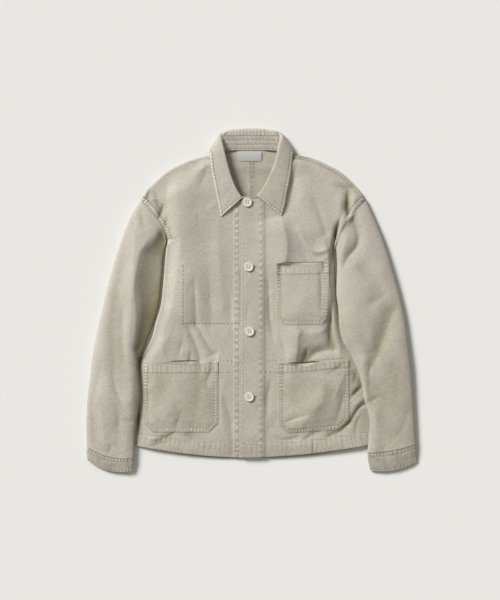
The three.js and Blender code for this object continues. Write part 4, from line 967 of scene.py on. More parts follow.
def make_leaf(count=270):
    """The collar leaf, and the paths of its edge stitching."""
    row = leaf_rows(count)
    near_tip = row.tip + row.out * row.half - row.across * row.half
    under_tip = row.tip + row.out * row.half + row.across * row.half
    root = row.tip + row.out * row.reach + row.across * row.half
    width = np.linalg.norm(row.edge - near_tip, axis=1)
    columns, from_edge = [], []
    for n in range(LEAF_FACES + 1):
        k = (n / LEAF_FACES) ** 1.25
        crown = 1.0 * math.sin(math.pi * k) ** 0.8
        columns.append(mix(row.edge, near_tip, k) - row.across * crown)
        from_edge.append(k * width)
    for n in range(1, 7):
        turn = math.pi * n / 7
        centre = row.tip + row.out * row.half
        columns.append(centre - row.across * row.half * math.cos(turn)
                       - row.out * row.half * math.sin(turn))
        from_edge.append(width + row.half[:, 0] * turn)
    for n in range(7):
        columns.append(mix(under_tip, root, n / 6))
        from_edge.append(width + row.half[:, 0] * math.pi + n * 1.4)
    grid = np.stack(columns, 1)
    from_edge = np.stack(from_edge, 1)
    along_edge = np.cumsum(np.concatenate([[0], np.linalg.norm(np.diff(row.edge, axis=0), axis=1)]))
    run = along_edge[:, None] + 0 * from_edge
    from_end = np.minimum(run, run[-1] - run)
    fine = 0.4 * lumps(run, from_edge, 24, 41) + 0.12 * lumps(run, from_edge, 8, 42)
    wear_and_painted_shade = 0.22 * lumps(run, from_edge, 26, 43) + 0.16 * lumps(run, from_edge, 9, 44)
    # Painted shade and highlight: the edge stitching's sunk line and pucker troughs are coloured darker,
    # the pucker crests paler, partly abrasion.
    for seed, (a, b) in enumerate(((run, from_edge), (from_edge, from_end))):
        relief, rub_and_shade = seam_relief(a, b, [(0, LEAF_STITCH), (1000, LEAF_STITCH)], pucker=0.9, pitch=7.2,
                                  reach=3.2, side=-0.9, sunk=0.5, dark=1.1, seed=45 + 3 * seed)
        near = smooth((18 - b) / 6)
        fine, wear_and_painted_shade = fine + relief * near, wear_and_painted_shade + rub_and_shade * near
        wear_and_painted_shade = wear_and_painted_shade + 0.75 * np.exp(-((b / 2.4) ** 2)) * (1 + 0.5 * lumps(a, b, 7, 48 + seed))
    fine = fine * smooth((width[:, None] + 2 - from_edge) / 4)
    fine = fine - 0.5 * np.exp(-((from_edge / 1.2) ** 2))
    behind = smooth((np.linalg.norm(row.tip[:, :2] - (0, 200), axis=1) - 162) / 8)[:, None]
    band = smooth((from_edge - width[:, None] - row.half * 1.6) / 8)
    middle = 800 * row.place[:, None] + 0 * run
    ripple = np.tanh(1.5 * np.sin(2 * math.pi * middle / 9 + 2.2 * lumps(middle, 0 * run, 22, 49)))
    fine = fine + 0.6 * behind * band * ripple
    # Painted shade and highlight: the ripples of the leaf's band are coloured darker in their troughs and
    # paler on their crests.
    wear_and_painted_shade = wear_and_painted_shade + 0.6 * behind * band * ripple
    outwards = moved_inwards(grid, 1.0, 1) - grid
    side = -1 if np.einsum("ijk,ik->ij", outwards, row.across)[:, 8].mean() > 0 else 1
    outer = moved_inwards(grid, fine, side)
    outer[..., 2] = np.maximum(outer[..., 2], 0)
    inner = moved_inwards(grid, COLLAR_CLOTH, -side)
    made = shell("leaf", outer, inner, np.stack([run, from_edge], -1), wear_and_painted_shade)
    column = LEAF_FACES * np.clip(LEAF_STITCH / width, 0, 0.9) ** 0.8
    first, last = (float(np.interp(v, along_edge, np.arange(count + 1)))
                   for v in (LEAF_STITCH, along_edge[-1] - LEAF_STITCH))
    edge_rows = np.linspace(first, last, 500)
    edge_columns = np.interp(edge_rows, np.arange(count + 1), column)
    paths = [grid_path(outer, edge_rows, edge_columns, 0.15 * side)]
    for end in (first, last):
        across = np.linspace(float(np.interp(end, np.arange(count + 1), column)), LEAF_FACES - 1, 60)
        paths.append(grid_path(outer, np.full(60, end), across, 0.15 * side))
    return made, paths


STAND_ROWS = (0.09, 0.4, 0.7)


def make_stand(count=230):
    """The collar stand with its wavy rows of stitching, and the paths of those rows."""
    row = leaf_rows(count)
    foot = np.stack([along(STAND_FOOT, c, row.place) for c in "xyz"], -1)
    head = row.tip + row.out * (row.reach + 2 * SEAM_GAP) + row.across * row.half
    height = np.linalg.norm(head - foot, axis=1)[:, None]
    k = np.linspace(0, 1, 33)[None, :, None]
    grid = mix(foot[:, None], head[:, None], k)
    up = k[..., 0] * height
    run = np.cumsum(np.concatenate([[0], np.linalg.norm(np.diff(head, axis=0), axis=1)]))[:, None] + 0 * up
    fine, wear_and_painted_shade = 0.2 * lumps(run, up, 12, 51), 0.2 * lumps(run, up, 9, 52) + 0.3
    for seed, share in enumerate(STAND_ROWS):
        away = up - share * height - 0.8 * lumps(run, 0 * run, 20, 59 + seed)
        ripple = np.tanh(1.5 * np.sin(2 * math.pi * (run + 0.6 * away) / 8.5
                                      + 2.4 * lumps(run, 0 * run, 21, 53 + seed)))
        beside, line = np.exp(-(((away - 1.6) / 2.8) ** 2)), np.exp(-((away / 1.1) ** 2))
        fine = fine + 0.5 * ripple * beside - 0.6 * line
        # Painted shade and highlight: each wavy row's line and ripple troughs are coloured darker, the
        # crests paler.
        wear_and_painted_shade = wear_and_painted_shade + 0.6 * ripple * beside - 1.0 * line
    outer = grid + row.across[:, None] * fine[..., None]
    inner = grid - row.across[:, None] * CLOTH
    made = shell("stand", outer, inner, np.stack([run, up], -1), wear_and_painted_shade)
    lines = np.linspace(4, count - 4, 420)
    paths = []
    for seed, share in enumerate(STAND_ROWS):
        across = 32 * (share + 0.8 * np.interp(lines, np.arange(count + 1),
                                               lumps(run, 0 * run, 20, 59 + seed)[:, 0] / height[:, 0]))
        at = grid_path(outer, lines, np.clip(across, 0.5, 31), 0)
        towards = np.stack([np.interp(lines, np.arange(count + 1), row.across[:, n]) for n in range(3)], -1)
        paths.append([tuple(p) for p in np.array(at) + 0.15 * towards])
    return made, paths


def pocket_edge(pocket, x):
    """Lower edge of a patch pocket with its cut corners."""
    u = (x - pocket.x0) / (pocket.x1 - pocket.x0)
    from_side = np.minimum(u, 1 - u) * (pocket.x1 - pocket.x0)
    return pocket.bottom + pocket.slant * u + np.maximum(0, pocket.corner - from_side)


def pocket_top(pocket, x):
    u = (x - pocket.x0) / (pocket.x1 - pocket.x0)
    return pocket.top + pocket.rise * u - pocket.sag * np.exp(-(((u - 0.34) / 0.22) ** 2))


def mouth_gape(pocket, x):
    """How far the pocket's mouth stands open at a place across it: the width of the near-black strip that
    closes the mouth as painted shade, and how far its edge lifts.
    """
    start, end = pocket.mouth
    return pocket.gape * smooth((x - start) / 20) * smooth((end - x) / 20)


def pocket_outline(pocket, inset):
    """Corners of the pocket's sewn edge, the given distance inside it, from upper left to upper right."""
    x0, x1 = pocket.x0 + inset, pocket.x1 - inset
    low0, low1 = pocket.bottom + inset, pocket.bottom + pocket.slant + inset
    cut = pocket.corner - 0.6 * inset
    return [(x0, pocket.top), (x0, low0 + cut), (x0 + cut, low0), (x1 - cut, low1), (x1, low1 + cut),
            (x1, pocket.top + pocket.rise)]


def band_line(pocket):
    """The stitched lower edge of the pocket's band."""
    return [(pocket.x0 + 2, pocket.top - pocket.band),
            (mix(pocket.x0, pocket.x1, 0.4),
             pocket.top - pocket.band + 0.25 * (pocket.rise + pocket.band_rise)),
            (pocket.x1 - 2, pocket.top - pocket.band + pocket.rise + pocket.band_rise)]


def pocket_surface(panel, pocket, x, y):
    """Upper face of a patch pocket on its panel, and its colour marks: mottling, pale abraded edges,
    painted shade in its folds and stitch lines, and the front's painted shade carried onto it.
    """
    ground, below = front_surface(panel, x, y)
    from_top = pocket_top(pocket, x) - y
    from_edge = np.minimum(np.minimum(x - pocket.x0, pocket.x1 - x), y - pocket_edge(pocket, x))
    crown = 1.8 * smooth((from_edge - 7) / 22) * (1 - 0.6 * smooth(1 - from_top / 30))
    own = fold_height(pocket.folds, x, y) * smooth(from_edge / 12)
    z = ground + 0.35 + POCKET_CLOTH + crown + own
    z = z + 0.6 * mouth_gape(pocket, x) * np.exp(-((from_top / 9) ** 2))
    signed, _, _ = near_path(band_line(pocket), x, y)
    z = z + 0.8 * smooth(0.5 + signed / 2.2) + 0.1 * lumps(x, y, 8, 61)
    # Painted shade: darker in the pocket's fold troughs, and the front's painted shade and highlights carry
    # onto the pocket.
    wear_and_painted_shade = (0.12 * lumps(x, y, 28, 62) + 0.12 * lumps(x, y, 6, 63) + np.clip(0.08 * own, -0.5, 0.1)
            - tone(x, y))
    wear_and_painted_shade = wear_and_painted_shade + np.clip(0.5 * below, -0.4, 0.2)
    seed = 70
    for inset, pucker, side, dark in ((2.6, 1.0, 0.85, 0.9), (8.6, 0.15, 0, 0.8)):
        relief, rub_and_shade = seam_relief(x, y, pocket_outline(pocket, inset), pucker=pucker, pitch=6.8, reach=3.2,
                                  side=side, dark=dark, seed=seed)
        z, wear_and_painted_shade, seed = z + relief, wear_and_painted_shade + rub_and_shade, seed + 2
    relief, rub_and_shade = seam_relief(x, y, band_line(pocket), pucker=0.5, pitch=10.5, reach=9, side=0.9, dark=0.5,
                              seed=seed)
    z, wear_and_painted_shade = z + relief, wear_and_painted_shade + rub_and_shade
    z = z - 0.5 * np.exp(-((np.maximum(0, from_edge) / 1.0) ** 2))
    wear_and_painted_shade = wear_and_painted_shade + 0.5 * np.exp(-((np.minimum(np.maximum(0, from_edge), from_top) / 2.0) ** 2))
    return z, wear_and_painted_shade


def make_pocket(name, panel, pocket, step=1.9):
    columns = int((pocket.x1 - pocket.x0) / step)
    count = int((pocket.top - pocket.bottom) / step)
    x = np.linspace(pocket.x0, pocket.x1, columns + 1)[None, :] + np.zeros((count + 1, 1))
    v = np.linspace(0, 1, count + 1)[:, None]
    y = mix(pocket_edge(pocket, x), pocket_top(pocket, x), v)
    z, wear_and_painted_shade = pocket_surface(panel, pocket, x, y)
    outer = np.stack([x, y, z], -1)
    inner = np.stack([x, y, z - POCKET_CLOTH], -1)
    # Painted shade: the mouth is not open; a strip of the pocket's own cloth slopes from its top edge down
    # to the front and is coloured near black, for the shade inside the mouth.
    gape = mouth_gape(pocket, x[-1])
    hollow_shade = np.where(gape > 0.02, -3.2 * smooth(gape / 0.8), 0)
    for share in (0.02, 0.5, 1.0):
        lip_y = y[count] + (0.3 + gape) * share
        ground = front_surface(panel, x[-1], lip_y)[0]
        lip_z = mix(z[count] - 0.4, ground + 0.1, share)
        lip = np.stack([x[-1], lip_y, lip_z], -1)[None]
        outer = np.concatenate([outer, lip])
        inner = np.concatenate([inner, lip - (0, 0, 0.9)])
        wear_and_painted_shade = np.concatenate([wear_and_painted_shade, hollow_shade[None]])
    return shell(name, outer, inner, outer[..., :2].copy(), wear_and_painted_shade)


# Materials

CLOTH_COLOUR = (0.503, 0.471, 0.408)
# Paler cloth for abraded places and painted highlights on crests and puckers; dark olive for painted shade
# in folds, seams, slopes and gaps, also used for random mottling; near black for painted shade in hollows,
# gaps and pocket mouths.
CLOTH_WORN_AND_HIGHLIGHT = (0.720, 0.690, 0.610)
CLOTH_SHADE_AND_MOTTLE = (0.240, 0.212, 0.124)
HOLLOW_SHADE_COLOUR = (0.030, 0.027, 0.020)
THREAD_COLOUR = (0.680, 0.645, 0.550)
BUTTON_COLOUR = (0.760, 0.710, 0.580)
LABEL_COLOUR = (0.500, 0.500, 0.485)
FLOOR_COLOUR = (0.812, 0.808, 0.792)
WEAVE_SCALE = 0.4543154  # sets the diagonal lines of the twill 0.69 mm apart


def new_material(name, roughness, specular=0.3, sheen=0.0):
    material = bpy.data.materials.new(name)
    material.use_nodes = True
    tree = material.node_tree
    shader = tree.nodes["Principled BSDF"]
    shader.inputs["Roughness"].default_value = roughness
    shader.inputs["Specular IOR Level"].default_value = specular
    shader.inputs["Sheen Weight"].default_value = sheen
    return material, tree, shader


def node(tree, kind, values=(), **settings):
    """A shader node with its settings and the values of its named inputs."""
    made = tree.nodes.new(kind)
    for key, value in settings.items():
        setattr(made, key, value)
    for key, value in dict(values).items():
        made.inputs[key].default_value = value
    return made


def blend(tree, factor, a, b, mode="MIX"):
    made = node(tree, "ShaderNodeMix", data_type="RGBA", blend_type=mode)
    for socket, value in ((made.inputs[0], factor), (made.inputs[6], a), (made.inputs[7], b)):
        if isinstance(value, bpy.types.NodeSocket):
            tree.links.new(value, socket)
        elif isinstance(value, (int, float)):
            socket.default_value = value
        else:
            socket.default_value = (*value, 1)
    return made.outputs[2]


def math_node(tree, operation, *values):
    made = node(tree, "ShaderNodeMath", operation=operation)
    for socket, value in zip(made.inputs, values):
        if isinstance(value, bpy.types.NodeSocket):
            tree.links.new(value, socket)
        else:
            socket.default_value = value
    return made.outputs[0]


def twill_material():
    """Washed cotton twill: a diagonal weave in the cloth's grain, mottled by washing, pale where abraded
    and on painted highlights, and darkened by painted shade in creases, seams, gaps and hollows.
    """
    material, tree, shader = new_material("washed twill", 0.92, 0.22, 0.12)
    shader.inputs["Sheen Roughness"].default_value = 0.6
    grain = node(tree, "ShaderNodeUVMap", uv_map="grain")
    spot = node(tree, "ShaderNodeTexCoord")
    wear_and_painted_shade = node(tree, "ShaderNodeAttribute", attribute_name="wear_and_painted_shade")
    diagonal = node(tree, "ShaderNodeMapping", {"Rotation": (0, 0, math.radians(62))})
    tree.links.new(grain.outputs["UV"], diagonal.inputs["Vector"])
    weave = node(tree, "ShaderNodeTexWave",
                 {"Scale": WEAVE_SCALE, "Distortion": 1.4, "Detail": 2, "Detail Scale": 2.0},
                 wave_type="BANDS", bands_direction="X")
    tree.links.new(diagonal.outputs["Vector"], weave.inputs["Vector"])
    slub = node(tree, "ShaderNodeTexNoise", {"Scale": 0.42, "Detail": 3, "Roughness": 0.7})
    stretch = node(tree, "ShaderNodeMapping", {"Scale": (1.0, 0.45, 1)})
    tree.links.new(grain.outputs["UV"], stretch.inputs["Vector"])
    tree.links.new(stretch.outputs["Vector"], slub.inputs["Vector"])
    clouds = node(tree, "ShaderNodeTexNoise", {"Scale": 26, "Detail": 4, "Roughness": 0.6})
    tree.links.new(spot.outputs["Object"], clouds.inputs["Vector"])

    # Painted light: above zero the attribute pales the cloth (abrasion and painted highlight), below zero
    # it darkens it with painted shade, and far below it turns it near black for painted shade in hollows.
    worn_lit_and_shaded = node(tree, "ShaderNodeMapRange", {"From Min": 0.1, "From Max": 1.1, "To Max": 1.0})
    sunk = node(tree, "ShaderNodeMapRange", {"From Min": -0.15, "From Max": -1.4, "To Max": 1.0})
    for ramp in (worn_lit_and_shaded, sunk):
        tree.links.new(wear_and_painted_shade.outputs["Fac"], ramp.inputs["Value"])
    colour = blend(tree, worn_lit_and_shaded.outputs[0], CLOTH_COLOUR, CLOTH_WORN_AND_HIGHLIGHT)
    colour = blend(tree, sunk.outputs[0], colour, CLOTH_SHADE_AND_MOTTLE)
    hollow_shade = node(tree, "ShaderNodeMapRange", {"From Min": -1.7, "From Max": -3.0, "To Max": 0.9})
    tree.links.new(wear_and_painted_shade.outputs["Fac"], hollow_shade.inputs["Value"])
    colour = blend(tree, hollow_shade.outputs[0], colour, HOLLOW_SHADE_COLOUR)
    cloudy = node(tree, "ShaderNodeMapRange", {"From Min": 0.3, "From Max": 0.7, "To Max": 0.09})
    tree.links.new(clouds.outputs["Fac"], cloudy.inputs["Value"])
    colour = blend(tree, cloudy.outputs[0], colour, CLOTH_SHADE_AND_MOTTLE)
    fleck = node(tree, "ShaderNodeMapRange",
                 {"From Min": 0.33, "From Max": 0.67, "To Min": 0.84, "To Max": 1.15})
    tree.links.new(slub.outputs["Fac"], fleck.inputs["Value"])
    lines = node(tree, "ShaderNodeMapRange", {"To Min": 0.93, "To Max": 1.05})
    tree.links.new(weave.outputs["Fac"], lines.inputs["Value"])
    shade = math_node(tree, "MULTIPLY", fleck.outputs[0], lines.outputs[0])
    colour = blend(tree, 1.0, colour, shade, "MULTIPLY")
    tree.links.new(colour, shader.inputs["Base Color"])
    rough = math_node(tree, "MULTIPLY_ADD", slub.outputs["Fac"], 0.12, 0.84)
    tree.links.new(rough, shader.inputs["Roughness"])
    height = math_node(tree, "MULTIPLY_ADD", weave.outputs["Fac"], 0.4, slub.outputs["Fac"])
    bump = node(tree, "ShaderNodeBump", {"Strength": 0.35, "Distance": 0.0003})
    tree.links.new(height, bump.inputs["Height"])
    tree.links.new(bump.outputs["Normal"], shader.inputs["Normal"])
    return material


def thread_material():
    material, tree, shader = new_material("thread", 0.8, 0.3, 0.2)
    spot = node(tree, "ShaderNodeTexCoord")
    twist = node(tree, "ShaderNodeTexNoise", {"Scale": 900, "Detail": 2})
    tree.links.new(spot.outputs["Object"], twist.inputs["Vector"])
    colour = blend(tree, twist.outputs["Fac"], tuple(c * 0.86 for c in THREAD_COLOUR), THREAD_COLOUR)
    tree.links.new(colour, shader.inputs["Base Color"])
    return material


def button_material():
    """Satin cream button with faint clouding, a little darker in its grain."""
    material, tree, shader = new_material("cream button", 0.42, 0.45)
    spot = node(tree, "ShaderNodeTexCoord")
    cloud = node(tree, "ShaderNodeTexNoise", {"Scale": 160, "Detail": 3})
    tree.links.new(spot.outputs["Object"], cloud.inputs["Vector"])
    colour = blend(tree, cloud.outputs["Fac"], tuple(c * 0.9 for c in BUTTON_COLOUR), BUTTON_COLOUR)
    tree.links.new(colour, shader.inputs["Base Color"])
    rough = math_node(tree, "MULTIPLY_ADD", cloud.outputs["Fac"], 0.2, 0.34)
    tree.links.new(rough, shader.inputs["Roughness"])
    return material


def label_material():
    """Bare woven tape."""
    material, tree, shader = new_material("woven label", 0.6, 0.35, 0.1)
    grain = node(tree, "ShaderNodeUVMap", uv_map="grain")
    ribs = node(tree, "ShaderNodeTexWave", {"Scale": 0.9, "Distortion": 0.5}, bands_direction="Y")
    tree.links.new(grain.outputs["UV"], ribs.inputs["Vector"])
    colour = blend(tree, ribs.outputs["Fac"], tuple(c * 0.92 for c in LABEL_COLOUR), LABEL_COLOUR)
    tree.links.new(colour, shader.inputs["Base Color"])
    bump = node(tree, "ShaderNodeBump", {"Strength": 0.25, "Distance": 0.0002})
    tree.links.new(ribs.outputs["Fac"], bump.inputs["Height"])
    tree.links.new(bump.outputs["Normal"], shader.inputs["Normal"])
    return material


def floor_material():
    material, tree, shader = new_material("pale floor", 0.95, 0.1)
    shader.inputs["Base Color"].default_value = (*FLOOR_COLOUR, 1)
    return material


TWILL = twill_material()
THREAD_FINISH = thread_material()
CREAM = button_material()
TAPE = label_material()

# Panels

LAP_STITCH_X = -18.6
PLACKET_STITCH_X = 24.5
PLACKET_X = 28.5
FACING_STITCHES_X = (-35.2, -29.2)
WAIST_Y = (-133, -158.4)
INNER_POCKET = [(-150, 80), (-150, -51), (-25.5, -51)]


def edge_line(panel, edge, place, inset):
    """The line a distance inside one of the panel's edges, at the given shares of that edge's length."""
    ahead, behind = np.minimum(1, place + 1e-3), np.maximum(0, place - 1e-3)
    run = np.stack([along(edge, c, ahead) - along(edge, c, behind) for c in "xy"], -1)
    run /= np.linalg.norm(run, axis=1, keepdims=True)
    outward = np.stack([-run[:, 1], run[:, 0]], -1) * panel.turn
    at = np.stack([along(edge, c, place) for c in "xy"], -1) - outward * inset
    return [tuple(p) for p in at]


def armhole_line(panel, inset, count=12):
    return edge_line(panel, panel.armhole, np.linspace(0.02, 0.98, count), inset)


def shoulder_line(panel, inset, count=18):
    return edge_line(panel, panel.shoulder, np.linspace(0.0, 0.97, count), inset)


def hem_line(panel, above, start, end, count=16):
    x = np.linspace(start, end, count)
    return [(a, float(hem_y(panel, a)) + above) for a in x]


left_front = Part(
    turn=-1, edge=LAP_EDGE_X, laps=True, side=LEFT_SIDE, armhole=LEFT_ARMHOLE, shoulder=LEFT_SHOULDER,
    neck=LEFT_NECK, folds=LEFT_FRONT_FOLDS, creases=LEFT_FRONT_CREASES,
    pockets=[CHEST_POCKET, LOWER_LEFT_POCKET],
    facing=PLACKET_X, inner_reach=180, seed=301,
    shaded_edge=[(-130, 0.3), (-60, 0.5), (-46, 1), (70, 1), (100, 0.5), (118, 0)],
    crumples=[(14, (60, -130, 170, -60), 80), (12, (60, 90, 190, 230), 100),
              (22, (30, -330, 260, -140), 60), (10, (-20, -330, 50, 210), 85),
              (12, (180, -310, 260, -120), 45)],
)
right_front = Part(
    turn=1, edge=UNDER_EDGE_X, laps=False, side=RIGHT_SIDE, armhole=RIGHT_ARMHOLE, shoulder=RIGHT_SHOULDER,
    neck=RIGHT_NECK, folds=RIGHT_FRONT_FOLDS, creases=RIGHT_FRONT_CREASES, pockets=[LOWER_RIGHT_POCKET],
    facing=-38.5, inner_reach=185, seed=331,
    shaded_edge=[(-320, 0.4), (-290, 0.9), (-250, 0.9), (-200, 0.4), (-165, 1), (-125, 1), (-100, 0.2),
                 (-70, 0)],
    crumples=[(16, (-180, -130, -40, -40), 105), (16, (-230, 60, -60, 290), 85),
              (22, (-240, -335, -50, -140), 110), (13, (-190, -60, -50, 100), 90)],
)
for panel in (left_front, right_front):
    panel.outline = outline(panel, 60, 18, 28)

left_front.stitches = [
    [(LAP_STITCH_X, -345), (LAP_STITCH_X, 226)],
    [(PLACKET_STITCH_X, -345), (PLACKET_STITCH_X, 226)],
    hem_line(left_front, HEM_WIDTH, -20, 266),
    [(27, WAIST_Y[0]), (58, WAIST_Y[0])],
    [(27, WAIST_Y[1]), (58, WAIST_Y[1])],
    armhole_line(left_front, 2.6),
    armhole_line(left_front, 11.5),
    shoulder_line(left_front, 3.2),
    shoulder_line(left_front, 7.6),
    [(-19, 225.5), (12, 223.5)],
    [(128, -132.5), (207, -127)],
]
left_front.seams = [
    (left_front.stitches[0], dict(pucker=0.45, pitch=8, reach=2.8, side=-0.5, dark=0.5, seed=101)),
    (left_front.stitches[1], dict(pucker=0.7, pitch=14.5, reach=4, side=0.8, dark=0.4, seed=103)),
    ([(PLACKET_X + 1, -345), (PLACKET_X + 1, 226)], dict(sunk=0.1, pucker=0.1, dark=0.15, seed=105)),
    (left_front.stitches[2], dict(pucker=0.5, pitch=11, reach=9, side=-0.9, dark=0.6, seed=107)),
    (hem_line(left_front, 3, -22, 271), dict(sunk=0.0, pucker=0.35, pitch=8.5, reach=6, dark=0, seed=109)),
    (left_front.stitches[3], dict(pucker=0.8, dark=0.6, seed=111)),
    (left_front.stitches[4], dict(pucker=0.8, dark=0.6, seed=113)),
    (left_front.stitches[5], dict(pucker=1.1, pitch=5.8, reach=5, side=0.95, dark=1.2, seed=115)),
    (left_front.stitches[6], dict(pucker=0.15, pitch=6, reach=3, dark=1.2, seed=117)),
    (left_front.stitches[7], dict(pucker=0.3, pitch=6, reach=3, dark=1.1, seed=119)),
    (left_front.stitches[8], dict(pucker=0.3, pitch=6, reach=3, dark=1.1, seed=121)),
    (left_front.stitches[10], dict(pucker=0.4, pitch=7, reach=3, seed=123)),
    ([(135, -284), (134, -341)], dict(sunk=0.7, pucker=0, dark=1.0, seed=125)),
]
right_front.stitches = [
    [(FACING_STITCHES_X[0], -345), (FACING_STITCHES_X[0], 226)],
    [(FACING_STITCHES_X[1], -345), (FACING_STITCHES_X[1], 222)],
    hem_line(right_front, HEM_WIDTH, -26, -250),
    [(-40, WAIST_Y[0]), (-73, WAIST_Y[0])],
    [(-40, WAIST_Y[1]), (-73, WAIST_Y[1])],
    armhole_line(right_front, 2.6),
    armhole_line(right_front, 11.5),
    INNER_POCKET,
    [(-25.5, 72), (-25.5, -51)],
]
right_front.seams = [
    (right_front.stitches[0], dict(pucker=0.35, pitch=8, reach=3.0, dark=0.5, seed=131)),
    (right_front.stitches[1], dict(pucker=0.8, pitch=15, reach=3.6, side=0.7, dark=0.5, seed=133)),
    (right_front.stitches[2], dict(pucker=0.5, pitch=11, reach=9, side=0.9, dark=0.6, seed=135)),
    (hem_line(right_front, 3, 14, -254), dict(sunk=0.0, pucker=0.35, pitch=8.5, reach=6, dark=0, seed=137)),
    (right_front.stitches[3], dict(pucker=0.8, dark=0.6, seed=139)),
    (right_front.stitches[4], dict(pucker=0.8, dark=0.6, seed=141)),
    (right_front.stitches[5], dict(pucker=1.1, pitch=5.8, reach=5, side=-0.95, dark=1.2, seed=143)),
    (right_front.stitches[6], dict(pucker=0.15, pitch=6, reach=3, dark=1.2, seed=145)),
    (INNER_POCKET, dict(pucker=0.5, pitch=8, reach=4.0, dark=1.2, seed=147)),
    (right_front.stitches[8], dict(pucker=0.2, pitch=9, reach=3, seed=149)),
]


def dress(obj, material, nodes):
    obj.data.materials.clear()
    obj.data.materials.append(material)
    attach(obj, "root")
    if nodes:
        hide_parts(*nodes)
    return obj


front_right = dress(make_front("right_front", right_front), TWILL, ["front_right"])
front_left = dress(make_front("left_front", left_front), TWILL, ["front_left"])
back_right = dress(make_back("right_back", right_front), TWILL, ["back_right"])
back_left = dress(make_back("left_back", left_front), TWILL, ["back_left"])
sleeve_right = dress(
    make_sleeve("right_sleeve", RIGHT_SLEEVE, right_front, RIGHT_SLEEVE_FOLDS, RIGHT_SLEEVE_SLOPES, 0.8,
                [(14, (-350, -100, -260, 120), 75), (16, (-355, -310, -262, -140), 60)], 201),
    TWILL, ["sleeve_right"])
sleeve_left = dress(
    make_sleeve("left_sleeve", LEFT_SLEEVE, left_front, LEFT_SLEEVE_FOLDS, [], 0.25,
                [(12, (210, -80, 330, 150), 110), (14, (262, -310, 355, -120), 115)], 221),
    TWILL, ["sleeve_left"])
cuff_right, right_cuff_paths = make_cuff("right_cuff", RIGHT_CUFF, 32, 241)
cuff_left, left_cuff_paths = make_cuff("left_cuff", LEFT_CUFF, 35, 251)
dress(cuff_right, TWILL, ["cuff_right"])
dress(cuff_left, TWILL, ["cuff_left"])
leaf, leaf_paths = make_leaf()
stand, stand_paths = make_stand()
dress(leaf, TWILL, ["collar_leaf"])
dress(stand, TWILL, ["collar_stand"])
chest_pocket = dress(make_pocket("chest_pocket", left_front, CHEST_POCKET), TWILL,
                     ["pocket_chest"])
lower_left = dress(make_pocket("left_pocket", left_front, LOWER_LEFT_POCKET), TWILL,
                   ["pocket_lower_left"])
lower_right = dress(make_pocket("right_pocket", right_front, LOWER_RIGHT_POCKET), TWILL,
                    ["pocket_lower_right"])


def make_label():
    x = np.linspace(LABEL.x0, LABEL.x1, 37)[None, :] + np.zeros((17, 1))
    y = np.linspace(LABEL.y0, LABEL.y1, 17)[:, None] + np.zeros((1, 37))
    u = (x - LABEL.x0) / (LABEL.x1 - LABEL.x0)
    v = (y - LABEL.y0) / (LABEL.y1 - LABEL.y0)
    z = bed_height(x, y) + CLOTH + 1.4 + 1.3 * (4 * v * (1 - v)) * (0.6 + 0.4 * u)
    outer = np.stack([x, y, z], -1)
    return shell("label", outer, outer - (0, 0, 0.7), outer[..., :2].copy())


label = dress(make_label(), TAPE, ["neck_label"])


def make_button(name, x, y):
    """A turned four-hole button with a rolled rim and a dished face, its holes cut through."""
    r, h = BUTTON_RADIUS, BUTTON_HEIGHT
    profile = [(0, 0), (0.78, 0), (0.93, 0.14), (1, 0.42), (0.985, 0.72), (0.94, 0.92), (0.88, 1),
               (0.82, 0.97), (0.77, 0.88), (0.72, 0.82), (0.55, 0.79), (0.3, 0.78), (0, 0.78)]
    sides = 56
    angle = np.linspace(0, 2 * math.pi, sides, endpoint=False)
    points = [(0, 0, 0)]
    for radius, height in profile[1:-1]:
        points += [(r * radius * math.cos(a), r * radius * math.sin(a), h * height) for a in angle]
    points.append((0, 0, h * profile[-1][1]))
    faces = []
    rings = len(profile) - 2
    for n in range(sides):
        m = (n + 1) % sides
        faces.append((0, 1 + m, 1 + n))
        for k in range(rings - 1):
            a, b = 1 + k * sides, 1 + (k + 1) * sides
            faces.append((a + n, a + m, b + m, b + n))
        a = 1 + (rings - 1) * sides
        faces.append((a + n, a + m, len(points) - 1))
    mesh = bpy.data.meshes.new(name)
    ground = float(front_surface(left_front, np.array([x]), np.array([y]))[0][0])
    placed = [((x + a) * MM, (y + b) * MM, (ground + 0.7 + c) * MM) for a, b, c in points]
    mesh.from_pydata(placed, [], faces)
    obj = add_object(name, mesh)
    cutters = []
    for dx in (-2.3, 2.3):
        for dy in (-2.3, 2.3):
            bpy.ops.mesh.primitive_cylinder_add(
                vertices=16, radius=1.3 * MM, depth=12 * MM,
                location=((x + dx) * MM, (y + dy) * MM, (ground + 2) * MM))
            cutters.append(bpy.context.object)
    for cutter in cutters:
        cut = obj.modifiers.new("hole", "BOOLEAN")
        cut.operation, cut.object, cut.solver = "DIFFERENCE", cutter, "EXACT"
    evaluated = obj.evaluated_get(bpy.context.evaluated_depsgraph_get())
    drilled = bpy.data.meshes.new_from_object(evaluated)
    obj.modifiers.clear()
    obj.data = drilled
    for cutter in cutters:
        bpy.data.objects.remove(cutter)
    drilled.polygons.foreach_set("use_smooth", np.ones(len(drilled.polygons), bool))
    drilled.set_sharp_from_angle(angle=math.radians(40))
    return obj, ground


def thread_paths_of_button(x, y, ground):
    top = ground + 0.7 + BUTTON_HEIGHT * 0.78
    return [[(x + dx, y - 2.3, top - 0.8), (x + dx, y - 1.1, top + 0.3), (x + dx, y + 1.1, top + 0.3),
             (x + dx, y + 2.3, top - 0.8)] for dx in (-2.5, -2.1, 2.1, 2.5)]


# Stitching

